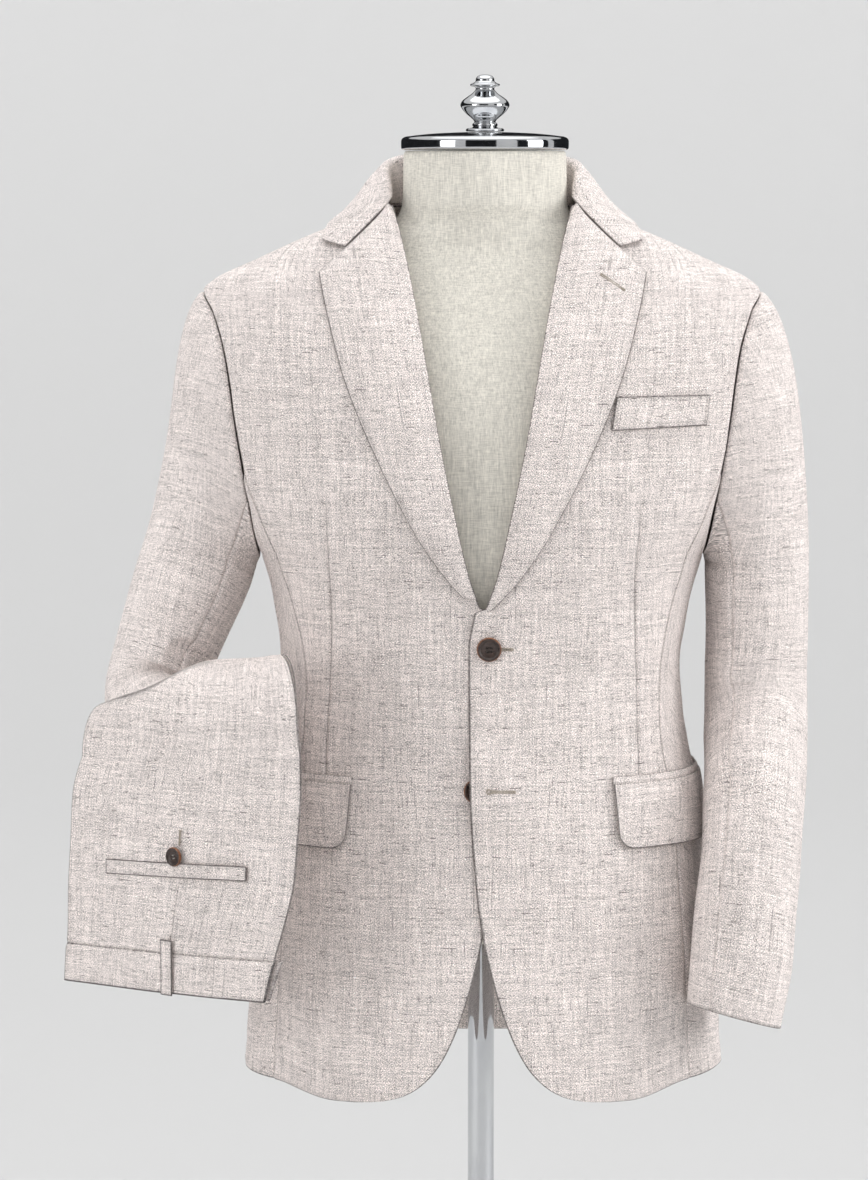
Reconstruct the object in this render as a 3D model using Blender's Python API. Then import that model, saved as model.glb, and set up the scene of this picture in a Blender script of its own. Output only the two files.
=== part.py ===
"""A two-button linen suit: the jacket on a limbless dress form with a chrome stand, and its trousers
folded over the bent right sleeve. Metres, +Z up, the front faces -Y, and the origin is under the base."""

import math

import bpy
import numpy as np
from mathutils import Vector

# Driving sizes, in metres
CLOTH = 0.0022          # jacket cloth with its fused interlining
LIGHT_CLOTH = 0.0018    # trouser cloth
SEAM_GAP = 0.0003       # between two pieces that are sewn together
LAY_GAP = 0.0004        # between a piece and the panel that it lies on

HEM = 0.637             # level of the jacket's hem at the sides and back
HEM_DROP = 0.012        # how far the fronts reach below it
NECK_POINT = 1.362      # where the shoulder seam meets the neck
SHOULDER_POINT = 1.291  # where the shoulder seam meets the sleeve
UNDERARM = 1.070        # lowest point of the armhole
BREAK_POINT = 1.031     # where the lapel starts to turn back
BUTTON_LEVELS = (1.001, 0.884)
BUTTON_LINE = 0.005     # the buttons' distance from the middle plane

ARMHOLE_FRONT = 0.064   # greatest depth of the armhole before the shoulder seam
ARMHOLE_BACK = 0.070
ARMHOLE_ROUND = 2.3     # exponent of the armhole's outline, 2 being an ellipse
BODY_ROUND = 2.25       # exponent of the body's sections

VENT_TOP = 0.860        # the centre vent opens below this level
VENT_OVERLAP = 0.034
VENT_STEP = 0.0032      # depth of the vent's under layer below the upper one

POLE_RADIUS = 0.0112
FORM_BOTTOM = 0.752
CAP_BOTTOM = 1.4075
BASE_RADIUS = 0.180

FRONT, SIDE, BACK = 0.0, math.pi / 2, math.pi

for stale in list(bpy.data.objects):
    bpy.data.objects.remove(stale)


def table(columns, *rows):
    """A short table: the values of each named column, by name."""
    names = columns.split()
    return {name: [row[k] for row in rows] for k, name in enumerate(names)}


def at(tab, column, level, key="level"):
    """A column's value at a level, on a smooth curve through the rows that never overshoots them."""
    xs = np.asarray(tab[key], float)
    ys = np.asarray(tab[column], float)
    if xs[0] > xs[-1]:
        xs, ys = xs[::-1], ys[::-1]
    level = min(max(level, xs[0]), xs[-1])
    k = int(min(max(np.searchsorted(xs, level) - 1, 0), len(xs) - 2))
    steps = np.diff(xs)
    slopes = np.diff(ys) / steps
    ends = [slopes[0]]
    for a, b in zip(slopes, slopes[1:]):
        ends.append(0.0 if a * b <= 0 else 2 * a * b / (a + b))
    ends.append(slopes[-1])
    h = steps[k]
    t = (level - xs[k]) / h
    return (
        ys[k] * (1 + 2 * t) * (1 - t) ** 2
        + ys[k + 1] * t * t * (3 - 2 * t)
        + h * ends[k] * t * (1 - t) ** 2
        - h * ends[k + 1] * t * t * (1 - t)
    )


# The jacket's body, from the hem to the neck. seam is the half width at the side, the armhole seam
# or the shoulder seam, whichever the level meets, and front and back are the depths in the middle.
BODY = table(
    "level  seam    front   back",
    (0.625, 0.2035, 0.1360, 0.1330),
    (0.700, 0.1990, 0.1325, 0.1320),
    (0.790, 0.1925, 0.1290, 0.1310),
    (0.870, 0.1840, 0.1240, 0.1240),
    (0.930, 0.1720, 0.1190, 0.1140),
    (0.978, 0.1685, 0.1180, 0.1080),
    (1.030, 0.1750, 0.1225, 0.1110),
    (1.070, 0.1855, 0.1280, 0.1170),
    (1.114, 0.1935, 0.1300, 0.1220),
    (1.173, 0.2035, 0.1260, 0.1250),
    (1.240, 0.2135, 0.1130, 0.1170),
    (1.275, 0.2240, 0.1010, 0.1080),
    (1.291, 0.2325, 0.0950, 0.1030),
    (1.300, 0.2235, 0.0910, 0.1000),
    (1.316, 0.1900, 0.0835, 0.0940),
    (1.333, 0.1530, 0.0750, 0.0870),
    (1.348, 0.1170, 0.0665, 0.0810),
    (1.362, 0.0830, 0.0580, 0.0750),
)

# Lines of the front, as distances from the middle plane: the roll line, the lapel's outer edge,
# the gorge seam between lapel and collar, and the cutaway front edge below the lower button.
ROLL = table(
    "level  x",
    (1.031, 0.0020),
    (1.060, 0.0120),
    (1.110, 0.0235),
    (1.163, 0.0345),
    (1.225, 0.0455),
    (1.286, 0.0565),
    (1.335, 0.0670),
    (1.362, 0.0745),
)
LAPEL = table(
    "level  x",
    (1.031, 0.0040),
    (1.053, 0.0250),
    (1.085, 0.0480),
    (1.130, 0.0730),
    (1.180, 0.0965),
    (1.220, 0.1120),
    (1.260, 0.1235),
    (1.300, 0.1325),
    (1.306, 0.1335),
)
GORGE = table(
    "level  x",
    (1.306, 0.1335),
    (1.326, 0.1110),
    (1.342, 0.0935),
    (1.3595, 0.0750),
)
CUTAWAY = table(
    "level  x",
    (0.637, 0.1050),
    (0.6385, 0.0850),
    (0.643, 0.0670),
    (0.653, 0.0500),
    (0.668, 0.0360),
    (0.690, 0.0235),
    (0.715, 0.0135),
    (0.757, 0.0020),
    (0.800, -0.0045),
    (0.884, -0.0100),
    (1.001, -0.0110),
    (1.031, -0.0060),
)


def armhole_share(level):
    """How far a level is up the armhole: -1 at the underarm, 1 at the shoulder point."""
    middle = (UNDERARM + SHOULDER_POINT) / 2
    return (level - middle) / (SHOULDER_POINT - middle)


def armhole_depth(level, half):
    """Distance of the armhole seam from the side line, on the front half or the back half."""
    share = abs(armhole_share(level))
    if share >= 1:
        return 0.0
    greatest = ARMHOLE_FRONT if half == FRONT else ARMHOLE_BACK
    return greatest * (1 - share**ARMHOLE_ROUND) ** (1 / ARMHOLE_ROUND)


def body_size(level, half):
    """Half width and depth of the body's section: in the armhole's span the section runs through its seam."""
    depth = at(BODY, "front" if half == FRONT else "back", level)
    seam = at(BODY, "seam", level)
    cut = armhole_depth(level, half) / depth
    return seam / (1 - cut**BODY_ROUND) ** (1 / BODY_ROUND), depth


def body(angle, level, out=0.0):
    """A point of the jacket's body. The angle is 0 at the front, a quarter turn at the wearer's left."""
    if out:
        return body(angle, level) + body_normal(angle, level) * out
    half = FRONT if math.cos(angle) >= 0 else BACK
    width, depth = body_size(level, half)
    s, c = math.sin(angle), math.cos(angle)
    power = 2 / BODY_ROUND
    x = math.copysign(width * abs(s) ** power, s)
    y = -math.copysign(depth * abs(c) ** power, c)
    return np.array([x, y, level])


def body_normal(angle, level):
    """Unit normal of the body, pointing out."""
    d_angle, d_level = 0.02, 0.002
    low = min(max(level, BODY["level"][0] + d_level), NECK_POINT - d_level)
    across = body(angle + d_angle, low) - body(angle - d_angle, low)
    up = body(angle, low + d_level) - body(angle, low - d_level)
    normal = np.cross(across, up)
    return normal / np.linalg.norm(normal)


def angle_of(x, level, half=FRONT):
    """The angle at which the body has this distance from the middle plane."""
    width, _ = body_size(level, half)
    share = min(abs(x) / width, 1.0) ** (BODY_ROUND / 2)
    angle = math.copysign(math.asin(share), x)
    return angle if half == FRONT else math.copysign(math.pi, x) - angle


def armhole_angle(level, half):
    """The angle of the armhole seam, at the wearer's left."""
    return angle_of(at(BODY, "seam", level), level, half)


# Seams beside the side panel, as angles at the wearer's left
SIDE_SEAMS = table(
    "level  front_turn  back_turn",
    (0.625, 1.00, 2.16),
    (0.880, 1.00, 2.14),
    (0.978, 1.04, 2.10),
    (1.070, 1.12, 2.02),
    (1.180, 1.12, 2.02),
)


def seam_angle(level, half):
    return at(SIDE_SEAMS, "front_turn" if half == FRONT else "back_turn", level)


def crossing(low, high, test):
    """The level between low and high where a test changes sign."""
    rising = test(high) > 0
    for _ in range(40):
        middle = (low + high) / 2
        if (test(middle) > 0) == rising:
            high = middle
        else:
            low = middle
    return (low + high) / 2


def junction(half):
    """The level where the side panel's seam meets the armhole."""
    sign = 1 if half == FRONT else -1
    middle = (UNDERARM + SHOULDER_POINT) / 2
    return crossing(
        UNDERARM,
        middle,
        lambda z: sign * (seam_angle(z, half) - armhole_angle(z, half)),
    )


JUNCTION = {half: junction(half) for half in (FRONT, BACK)}


def panel_side(level, half):
    """The outer edge of a front or back panel: side seam, armhole seam, then shoulder seam."""
    if level >= SHOULDER_POINT:
        return SIDE
    if level < JUNCTION[half]:
        return seam_angle(level, half)
    return armhole_angle(level, half)


def unit(v):
    v = np.asarray(v, float)
    return v / np.linalg.norm(v)


def grid_normals(points):
    """Unit normals of a grid of points, from its own neighbours."""
    down = np.gradient(points, axis=0)
    across = np.gradient(points, axis=1)
    normals = np.cross(across, down)
    return normals / np.linalg.norm(normals, axis=2, keepdims=True)


def new_object(name, points, faces, material, smooth=True):
    mesh = bpy.data.meshes.new(name)
    mesh.from_pydata([tuple(p) for p in points], [], faces)
    mesh.update()
    mesh.materials.append(material)
    if smooth:
        mesh.shade_smooth()
        mesh.set_sharp_from_angle(angle=math.radians(50))
    obj = bpy.data.objects.new(name, mesh)
    bpy.context.scene.collection.objects.link(obj)
    return obj


def signed_volume(points, faces):
    total = 0.0
    for face in faces:
        a = points[face[0]]
        for b, c in zip(face[1:], face[2:]):
            total += np.dot(a, np.cross(points[b], points[c]))
    return total / 6


def wall(name, outer, inner, material):
    """A closed wall between two grids of points, each face turned to point out."""
    rows, cols = outer.shape[:2]
    points = np.concatenate([outer.reshape(-1, 3), inner.reshape(-1, 3)])
    half = rows * cols

    def index(i, j, side):
        return i * cols + j + side * half

    faces = []
    for i in range(rows - 1):
        for j in range(cols - 1):
            ring = [(i, j), (i, j + 1), (i + 1, j + 1), (i + 1, j)]
            faces.append([index(*p, 0) for p in ring])
            faces.append([index(*p, 1) for p in reversed(ring)])
    rim = [(0, j) for j in range(cols)]
    rim += [(i, cols - 1) for i in range(1, rows)]
    rim += [(rows - 1, j) for j in range(cols - 2, -1, -1)]
    rim += [(i, 0) for i in range(rows - 2, 0, -1)]
    for p, q in zip(rim, rim[1:] + rim[:1]):
        faces.append([index(*q, 0), index(*p, 0), index(*p, 1), index(*q, 1)])
    if signed_volume(points, faces) < 0:
        faces = [face[::-1] for face in faces]
    return new_object(name, points, faces, material)


def pulled_in(points, gap=SEAM_GAP, sides="tblr"):
    """The grid with its chosen edges drawn in by a share of the seam gap."""
    points = points.copy()

    def draw(edge, beside):
        step = beside - edge
        edge += step / np.linalg.norm(step, axis=1, keepdims=True) * gap

    if "l" in sides:
        draw(points[:, 0], points[:, 1].copy())
    if "r" in sides:
        draw(points[:, -1], points[:, -2].copy())
    if "t" in sides:
        draw(points[-1], points[-2].copy())
    if "b" in sides:
        draw(points[0], points[1].copy())
    return points


def body_sheet(name, places, material, out=0.0, thick=CLOTH, side=1, sides="tblr"):
    """A wall on the jacket's body from a grid of (angle, level) places, side -1 mirroring it."""
    outer = np.array([[body(a, z, o + out) for a, z, o in row] for row in places])
    inner = np.array([[body(a, z, o + out - thick) for a, z, o in row] for row in places])
    outer = pulled_in(outer, sides=sides)
    inner = pulled_in(inner, sides=sides)
    if side < 0:
        outer[:, :, 0] *= -1
        inner[:, :, 0] *= -1
    return wall(name, outer, inner, material)


def levels(*spans):
    """Levels from the first value on, each span being (end level, number of steps)."""
    found = [spans[0]]
    for end, steps in spans[1:]:
        start = found[-1]
        found += [start + (end - start) * k / steps for k in range(1, steps + 1)]
    return found


def ramp(value, start, end):
    """0 before start, 1 after end, and smooth between them; start may be the larger."""
    t = min(max((value - start) / (end - start), 0.0), 1.0)
    return t * t * (3 - 2 * t)


def front_edge(level):
    """Distance of a front's inner edge from the middle plane: cutaway, closed edge, then roll line."""
    return at(CUTAWAY if level <= BREAK_POINT else ROLL, "x", level)


def under_lap(x, level):
    """How far the right front lies back, to pass under the left one."""
    return -(CLOTH + LAY_GAP) * ramp(x, 0.065, 0.022) * ramp(level, 1.110, 1.040)


def over_button(x, level):
    """How far the left front stands out over the lower button, which it hides."""
    away = math.hypot(x + 0.004, level - BUTTON_LEVELS[1])
    return 0.0052 * ramp(away, 0.050, 0.016)


def front_levels():
    return levels(
        HEM, (0.6385, 1), (0.643, 1), (0.653, 1), (0.668, 1), (0.690, 1), (0.715, 1),
        (0.757, 1), (0.860, 3), (0.884, 1), (0.908, 1), (1.001, 4), (BREAK_POINT, 2),
        (UNDERARM, 2), (JUNCTION[FRONT], 1), (1.210, 5), (1.262, 3), (1.280, 1), (1.287, 1),
        (SHOULDER_POINT, 1), (1.3, 1), (1.316, 1), (1.333, 1), (1.348, 1), (NECK_POINT, 1),
    )


def front_places(side, columns=8):
    """The (angle, level, offset) grid of a front, from its inner edge to the side."""
    rows = []
    for level in front_levels():
        first = angle_of(front_edge(level), level)
        last = panel_side(level, FRONT)
        row = []
        for k in range(columns + 1):
            angle = first + (last - first) * k / columns
            x = body(angle, level)[0]
            lift = over_button(x, level) if side > 0 else under_lap(x, level)
            drop = HEM_DROP * ramp(level, 0.760, HEM) * ramp(x, 0.180, 0.120)
            row.append((angle, level - drop, lift))
        rows.append(row)
    return rows


def side_panel_places(rows=16, columns=4):
    """The side panel, whose top edge is the bottom of the armhole."""
    tops = []
    for k in range(columns + 1):
        share = k / columns
        if k in (0, columns):
            tops.append(JUNCTION[BACK if k else FRONT])
            continue
        middle = (UNDERARM + SHOULDER_POINT) / 2

        def turn(level, share=share):
            first, last = seam_angle(level, FRONT), seam_angle(level, BACK)
            return first + (last - first) * share

        half = FRONT if turn(UNDERARM) < SIDE else BACK
        sign = 1 if half == FRONT else -1
        tops.append(
            crossing(UNDERARM, middle, lambda z: sign * (turn(z) - armhole_angle(z, half)))
        )
    places = []
    for i in range(rows + 1):
        row = []
        for k, top in enumerate(tops):
            level = HEM + (top - HEM) * i / rows
            first, last = seam_angle(level, FRONT), seam_angle(level, BACK)
            row.append((first + (last - first) * k / columns, level, 0.0))
        places.append(row)
    return places


def vent_turn(level, side):
    """The angle of a back's inner edge: the right one runs on under the left one below the vent's top."""
    if side > 0 or level > VENT_TOP:
        return BACK
    width, _ = body_size(level, BACK)
    reach = VENT_OVERLAP * ramp(level, VENT_TOP, VENT_TOP - 0.012)
    return BACK + math.asin((reach / width) ** (BODY_ROUND / 2))


def back_places(side, columns=7):
    spans = levels(
        HEM, (0.700, 1), (0.780, 1), (0.845, 1), (VENT_TOP, 1), (0.930, 2), (0.978, 2),
        (1.030, 2), (UNDERARM, 2), (JUNCTION[BACK], 1), (1.210, 4), (1.262, 3), (1.280, 1),
        (1.287, 1), (SHOULDER_POINT, 1), (1.3, 1), (1.316, 1), (1.333, 1), (1.348, 1),
        (NECK_POINT, 1),
    )
    rows = []
    for level in spans:
        first, last = vent_turn(level, side), panel_side(level, BACK)
        row = []
        for k in range(columns + 1):
            angle = first + (last - first) * (k / columns) ** 1.15
            x = body(angle, level)[0]
            back = 0.0
            if side < 0:
                back = -VENT_STEP * ramp(x, 0.030, 0.006) * ramp(level, VENT_TOP + 0.05, VENT_TOP)
            row.append((angle, level, back))
        rows.append(row)
    return rows


def lapel_places(side, columns=6):
    """The lapel, from the roll line out to its edge and, above the notch, to the gorge seam."""
    rows = []
    first = BREAK_POINT + (0.002 if side > 0 else 0.012)
    spans = levels(
        first, (1.053, 1), (1.085, 1), (1.260, 6), (1.300, 1), (1.306, 1), (1.326, 1),
        (1.342, 1), (1.357, 1),
    )
    for level in spans:
        inner = at(ROLL, "x", level)
        outer = at(LAPEL if level <= 1.306 else GORGE, "x", level)
        row = []
        for k in range(columns + 1):
            share = k / columns
            x = inner + (outer - inner) * share
            belly = 0.0045 * (4 * share * (1 - share)) ** 0.8 * ramp(level, 1.031, 1.10)
            lift = belly + (under_lap(x, level) if side < 0 else 0.0)
            row.append((angle_of(x, level), level, lift))
        rows.append(row)
    return rows


# The collar at the wearer's left, from its notch to the middle of the back. fold is its upper edge,
# which lies on the body up to the neck, and the leaf's lower edge is on the body at a turn in degrees
# and a level. rise is the air under the collar, and round how far the leaf bulges.
COLLAR = table(
    "fold_x  fold_y   fold_z  turn   leaf_level  rise    round",
    (0.1118, None, 1.3262, 53.4, 1.3305, 0.0010, 0.0000),
    (0.0943, None, 1.3422, 69.6, 1.3410, 0.0014, 0.0010),
    (0.0768, None, 1.3592, 81.6, 1.3465, 0.0022, 0.0025),
    (0.0800, -0.0140, 1.3760, 98.0, 1.3490, 0.0030, 0.0050),
    (0.0820, 0.0130, 1.3920, 115.0, 1.3515, 0.0030, 0.0060),
    (0.0730, 0.0450, 1.4000, 134.0, 1.3530, 0.0030, 0.006),
    (0.0430, 0.0720, 1.4030, 156.0, 1.3535, 0.0030, 0.006),
    (0.0000, 0.0820, 1.4040, 180.0, 1.3540, 0.0030, 0.006),
)


FOLD_RADIUS = 0.0032


def collar_section(k, columns):
    """Points of one section of the collar, over its fold and down to the edge of its leaf."""
    row = {name: column[k] for name, column in COLLAR.items()}
    out = row["rise"] + CLOTH
    turn, level = math.radians(row["turn"]), row["leaf_level"]
    leaf = body(turn, level, out)
    if row["fold_y"] is None:
        points = []
        for j in range(columns + 4):
            share = j / (columns + 3)
            z = row["fold_z"] + (level - row["fold_z"]) * share
            x = row["fold_x"] + (body(turn, level)[0] - row["fold_x"]) * share
            bulge = row["round"] * math.sin(math.pi * share)
            points.append(body(angle_of(x, z), z, out + bulge))
        return points
    fold = np.array([row["fold_x"], row["fold_y"], row["fold_z"]])
    flat = unit([leaf[0] - 0.5 * fold[0], leaf[1] - 0.5 * fold[1], 0])
    centre = fold - np.array([0, 0, FOLD_RADIUS])
    points = [centre - flat * FOLD_RADIUS - np.array([0, 0, 0.002])]
    for degrees in (150, 90, 30):
        angle = math.radians(degrees)
        points.append(centre + FOLD_RADIUS * (flat * math.cos(angle) + np.array([0, 0, math.sin(angle)])))
    start = points[-1]
    away = body_normal(turn, level)
    for j in range(1, columns + 1):
        share = j / columns
        bulge = row["round"] * math.sin(math.pi * share)
        points.append(start + (leaf - start) * share + away * bulge)
    return points


def both_sides(half):
    """Sections at the wearer's left, joined to their mirror images at the wearer's right."""
    half = np.array(half)
    other = half[:-1][::-1].copy()
    left, right = half, other
    right[:, :, 0] *= -1
    return np.concatenate([left, right])


def collar(material, columns=5):
    outer = both_sides([collar_section(k, columns) for k in range(len(COLLAR["turn"]))])
    normals = grid_normals(outer)
    if normals[len(outer) // 2, 2, 1] < 0:
        normals = -normals
    return wall("collar_leaf", outer, outer - normals * CLOTH, material)


def collar_stand(material, rows=4):
    """The band inside the collar, from its fold down to the neck seam."""
    outer = []
    for k in range(3, len(COLLAR["turn"])):
        row = {name: column[k] for name, column in COLLAR.items()}
        turn = math.radians(row["turn"])
        low = body(turn, NECK_POINT) * np.array([0.955, 0.955, 1]) + np.array([0, 0, 0.001])
        top = np.array([row["fold_x"], row["fold_y"], row["fold_z"]])
        inward = unit(top * np.array([1, 1, 0])) * FOLD_RADIUS
        top = top - inward - np.array([0, 0, FOLD_RADIUS + 0.0026])
        outer.append([low + (top - low) * i / rows for i in range(rows + 1)])
    outer = both_sides(outer)
    inner = outer * np.array([1, 1, 1])
    inward = outer.copy()
    inward[:, :, 2] = 0
    inner -= inward / np.linalg.norm(inward, axis=2, keepdims=True) * CLOTH
    return wall("collar_stand", outer, inner, material)


# The sleeves' axes from the underarm down: place, half width and half depth of the tube.
HANGING_SLEEVE = table(
    "step  x       y        z       wide    deep",
    (0, 0.2330, 0.0100, 1.0600, 0.0439, 0.0660),
    (1, 0.2340, 0.0100, 0.9955, 0.0435, 0.0620),
    (2, 0.2325, 0.0020, 0.9450, 0.0435, 0.0590),
    (3, 0.2303, -0.0290, 0.8983, 0.0431, 0.0560),
    (4, 0.2268, -0.0570, 0.8590, 0.0420, 0.0530),
    (5, 0.2212, -0.0800, 0.8010, 0.0420, 0.0500),
    (6, 0.2160, -0.0940, 0.7520, 0.0423, 0.0480),
    (7, 0.2085, -0.1020, 0.6943, 0.0397, 0.0460),
)
CUFF_TILT = 0.14        # how far the hanging cuff drops to its outer side

# The bent sleeve, at the wearer's right, in the same frame as the left one before it is mirrored
BENT_TOP = np.array([0.2405, 0.0100, 1.0600])
BENT_ELBOW = np.array([0.2940, -0.0280, 0.9120])
BENT_CUFF = np.array([0.1850, -0.1270, 0.9466])
BEND_RADIUS = 0.048
SLEEVE_SEAMS = (-35.0, 200.0)   # turns of the front and the back seam of a sleeve
TOP_COLUMNS, UNDER_COLUMNS = 12, 6
CAP_ROWS = 6


def turned(v, start, end):
    """A vector carried along by the smallest turn that takes one direction to another."""
    axis = np.cross(start, end)
    s, c = np.linalg.norm(axis), float(np.dot(start, end))
    if s < 1e-9:
        return v
    axis = axis / s
    return v * c + np.cross(axis, v) * s + axis * np.dot(axis, v) * (1 - c)


def arc_between(corner, first, second, radius, steps):
    """Points of the arc that rounds a corner between two directions, and its centre."""
    half = math.acos(float(np.dot(first, second))) / 2
    reach = radius * math.tan(half)
    start = corner - first * reach
    side = unit(second - first * np.dot(first, second))
    centre = start + side * radius
    points = []
    for k in range(steps + 1):
        turn = 2 * half * k / steps
        points.append(centre - side * radius * math.cos(turn) + first * radius * math.sin(turn))
    return points, centre


def hanging_axis(steps=12):
    """Rings of the straight sleeve: place, half width, half depth."""
    rings = []
    for k in range(steps + 1):
        step = 7 * k / steps
        row = [at(HANGING_SLEEVE, name, step, "step") for name in ("x", "y", "z", "wide", "deep")]
        rings.append((np.array(row[:3]), row[3], row[4]))
    return rings


def bent_axis():
    """Rings of the bent sleeve, and the centre that its elbow turns about."""
    first = unit(BENT_ELBOW - BENT_TOP)
    second = unit(BENT_CUFF - BENT_ELBOW)
    arc, centre = arc_between(BENT_ELBOW, first, second, BEND_RADIUS, 8)
    upper = [BENT_TOP + (arc[0] - BENT_TOP) * k / 4 for k in range(4)]
    lower = [arc[-1] + (BENT_CUFF - arc[-1]) * k / 4 for k in range(1, 5)]
    places = upper + arc + lower
    rings = []
    for k, place in enumerate(places):
        share = k / (len(places) - 1)
        rings.append((place, 0.0490 - 0.0080 * ramp(share, 0, 0.3), 0.0640 - 0.0240 * share**0.6))
    return rings, centre


def tube(rings, turns, centre=None, tilt=0.0):
    """Rings of points about an axis. A turn of 0 is the front, 90 the outer side."""
    places = [ring[0] for ring in rings]
    tangents = [unit(b - a) for a, b in zip(places[:1] + places, places[1:] + places[-1:])]
    down = np.array([0.0, 0.0, -1.0])
    outer = turned(np.array([1.0, 0.0, 0.0]), down, tangents[0])
    front = turned(np.array([0.0, -1.0, 0.0]), down, tangents[0])
    rows = []
    for k, (place, wide, deep) in enumerate(rings):
        if k:
            outer = turned(outer, tangents[k - 1], tangents[k])
            front = turned(front, tangents[k - 1], tangents[k])
        drop = tilt * (k / (len(rings) - 1)) ** 3
        row = []
        for turn in turns:
            angle = math.radians(turn)
            offset = outer * wide * math.sin(angle) + front * deep * math.cos(angle)
            if centre is not None:
                crook = centre - place
                crook = unit(crook - tangents[k] * np.dot(crook, tangents[k]))
                near = ramp(np.linalg.norm(centre - place), BEND_RADIUS + 0.030, BEND_RADIUS)
                limit = BEND_RADIUS - 0.006 + 0.05 * (1 - near)
                offset = offset - crook * max(np.dot(offset, crook) - limit, 0.0)
            offset = offset + np.array([0, 0, -drop * offset[0]])
            row.append(place + offset)
        rows.append(row)
    return rows


def armhole_point(turn):
    """The start of the sleeve's surface, just inside the armhole's seam."""
    angle = math.radians(turn)
    middle = (UNDERARM + SHOULDER_POINT) / 2
    level = middle + (SHOULDER_POINT - middle) * math.sin(angle)
    half = FRONT if math.cos(angle) > 0 else BACK
    depth = armhole_depth(level, half) * (-1 if half == FRONT else 1)
    seam = np.array([at(BODY, "seam", level), depth, level])
    hole = np.array([seam[0], 0.0, middle])
    return seam + unit(hole - seam) * 0.0006 + np.array([0.0006, 0, 0])


def sleeve_turns():
    first, second = SLEEVE_SEAMS
    top = [first + (second - first) * k / TOP_COLUMNS for k in range(TOP_COLUMNS)]
    under = [second + (first + 360 - second) * k / UNDER_COLUMNS for k in range(UNDER_COLUMNS)]
    return top + under


def sleeve_grid(rings, centre=None, tilt=0.0):
    """The whole sleeve's surface, ring by ring from the armhole, and its normals."""
    turns = sleeve_turns()
    lower = tube(rings, turns, centre, tilt)
    along = unit(rings[1][0] - rings[0][0])
    rows = []
    for k in range(CAP_ROWS):
        t = (k / CAP_ROWS) ** 1.3
        row = []
        for turn, end in zip(turns, lower[0]):
            start = armhole_point(turn)
            chord = np.linalg.norm(end - start)
            s, c = math.sin(math.radians(turn)), math.cos(math.radians(turn))
            away = unit([0.88, -0.12 * c, -0.45])
            away = away + (unit(end - start) - away) * ramp(s, 0.1, -0.9)
            row.append(
                start * (1 + 2 * t) * (1 - t) ** 2
                + end * t * t * (3 - 2 * t)
                + unit(away) * 0.43 * chord * t * (1 - t) ** 2
                - along * 1.25 * chord * t * t * (1 - t)
            )
        rows.append(row)
    points = np.array(rows + lower)
    across = np.roll(points, -1, axis=1) - np.roll(points, 1, axis=1)
    down = np.gradient(points, axis=0)
    normals = np.cross(down, across)
    normals /= np.linalg.norm(normals, axis=2, keepdims=True)
    middle = points.mean(axis=1, keepdims=True)
    if np.sum(normals[-1] * (points - middle)[-1]) < 0:
        normals = -normals
    return points, normals


def sleeve(word, side, material):
    if side > 0:
        points, normals = sleeve_grid(hanging_axis(), tilt=CUFF_TILT)
    else:
        rings, centre = bent_axis()
        points, normals = sleeve_grid(rings, centre)
    count = points.shape[1]
    pieces = (("top", 0, TOP_COLUMNS), ("under", TOP_COLUMNS, UNDER_COLUMNS))
    for part, first, columns in pieces:
        pick = [(first + k) % count for k in range(columns + 1)]
        outer = points[:, pick]
        inner = outer - normals[:, pick] * CLOTH
        outer, inner = pulled_in(outer, sides="lr"), pulled_in(inner, sides="lr")
        if side < 0:
            outer = outer * np.array([-1, 1, 1])
            inner = inner * np.array([-1, 1, 1])
        wall(f"sleeve_{word}_{part}", outer, inner, material)


WELT = ((0.1045, 1.1800), (0.1820, 1.1830), (0.1855, 1.2065), (0.1090, 1.2060))
FLAP_FRONT = 0.1075     # distance of the hip pocket's front end from the middle plane
FLAP_END = 1.80         # turn of its back end
FLAP_TOP, FLAP_BOTTOM = 0.8865, 0.8345
JET_HEIGHT = 0.006
FLAP_ROUND = 0.013
ON_PANEL = CLOTH + 0.0012   # outer face of a piece that lies on a panel


def breast_welt(material, columns=6, rows=2):
    low_in, low_out, top_out, top_in = (np.array(p) for p in WELT)
    places = []
    for i in range(rows + 1):
        start = low_in + (top_in - low_in) * i / rows
        end = low_out + (top_out - low_out) * i / rows
        line = [start + (end - start) * k / columns for k in range(columns + 1)]
        places.append([(angle_of(x, z), z, 0.0) for x, z in line])
    body_sheet("breast_welt", places, material, out=ON_PANEL - 0.0005, sides="")


def pocket_turns(columns):
    """Turns along a hip pocket, closer together at its rounded ends."""
    first = angle_of(FLAP_FRONT, FLAP_TOP)
    shares = [0, 0.012, 0.035, 0.075] + [0.075 + 0.85 * k / columns for k in range(1, columns)]
    shares += [0.925, 0.965, 0.988, 1.0]
    return [first + (FLAP_END - first) * share for share in shares]


def hip_jet(word, side, material):
    places = [
        [(turn, FLAP_TOP + 0.0003 + JET_HEIGHT * i, 0.0) for turn in pocket_turns(9)]
        for i in range(2)
    ]
    body_sheet(f"hip_jet_{word}", places, material, ON_PANEL - 0.0006, CLOTH - 0.0006, side, "")


def hip_flap(word, side, material, rows=4):
    turns = pocket_turns(9)
    ends = [body(turn, FLAP_TOP) for turn in turns]
    run = [0.0]
    for a, b in zip(ends, ends[1:]):
        run.append(run[-1] + np.linalg.norm(b - a))
    places = []
    for i in range(rows + 1):
        row = []
        for turn, along in zip(turns, run):
            near = max(FLAP_ROUND - min(along, run[-1] - along), 0.0)
            low = FLAP_BOTTOM + FLAP_ROUND - math.sqrt(FLAP_ROUND**2 - near**2)
            level = low + (FLAP_TOP - low) * i / rows
            row.append((turn, level, 0.0012 * (1 - i / rows)))
        places.append(row)
    body_sheet(f"hip_flap_{word}", places, material, ON_PANEL + 0.0004, CLOTH, side, "")


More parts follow.
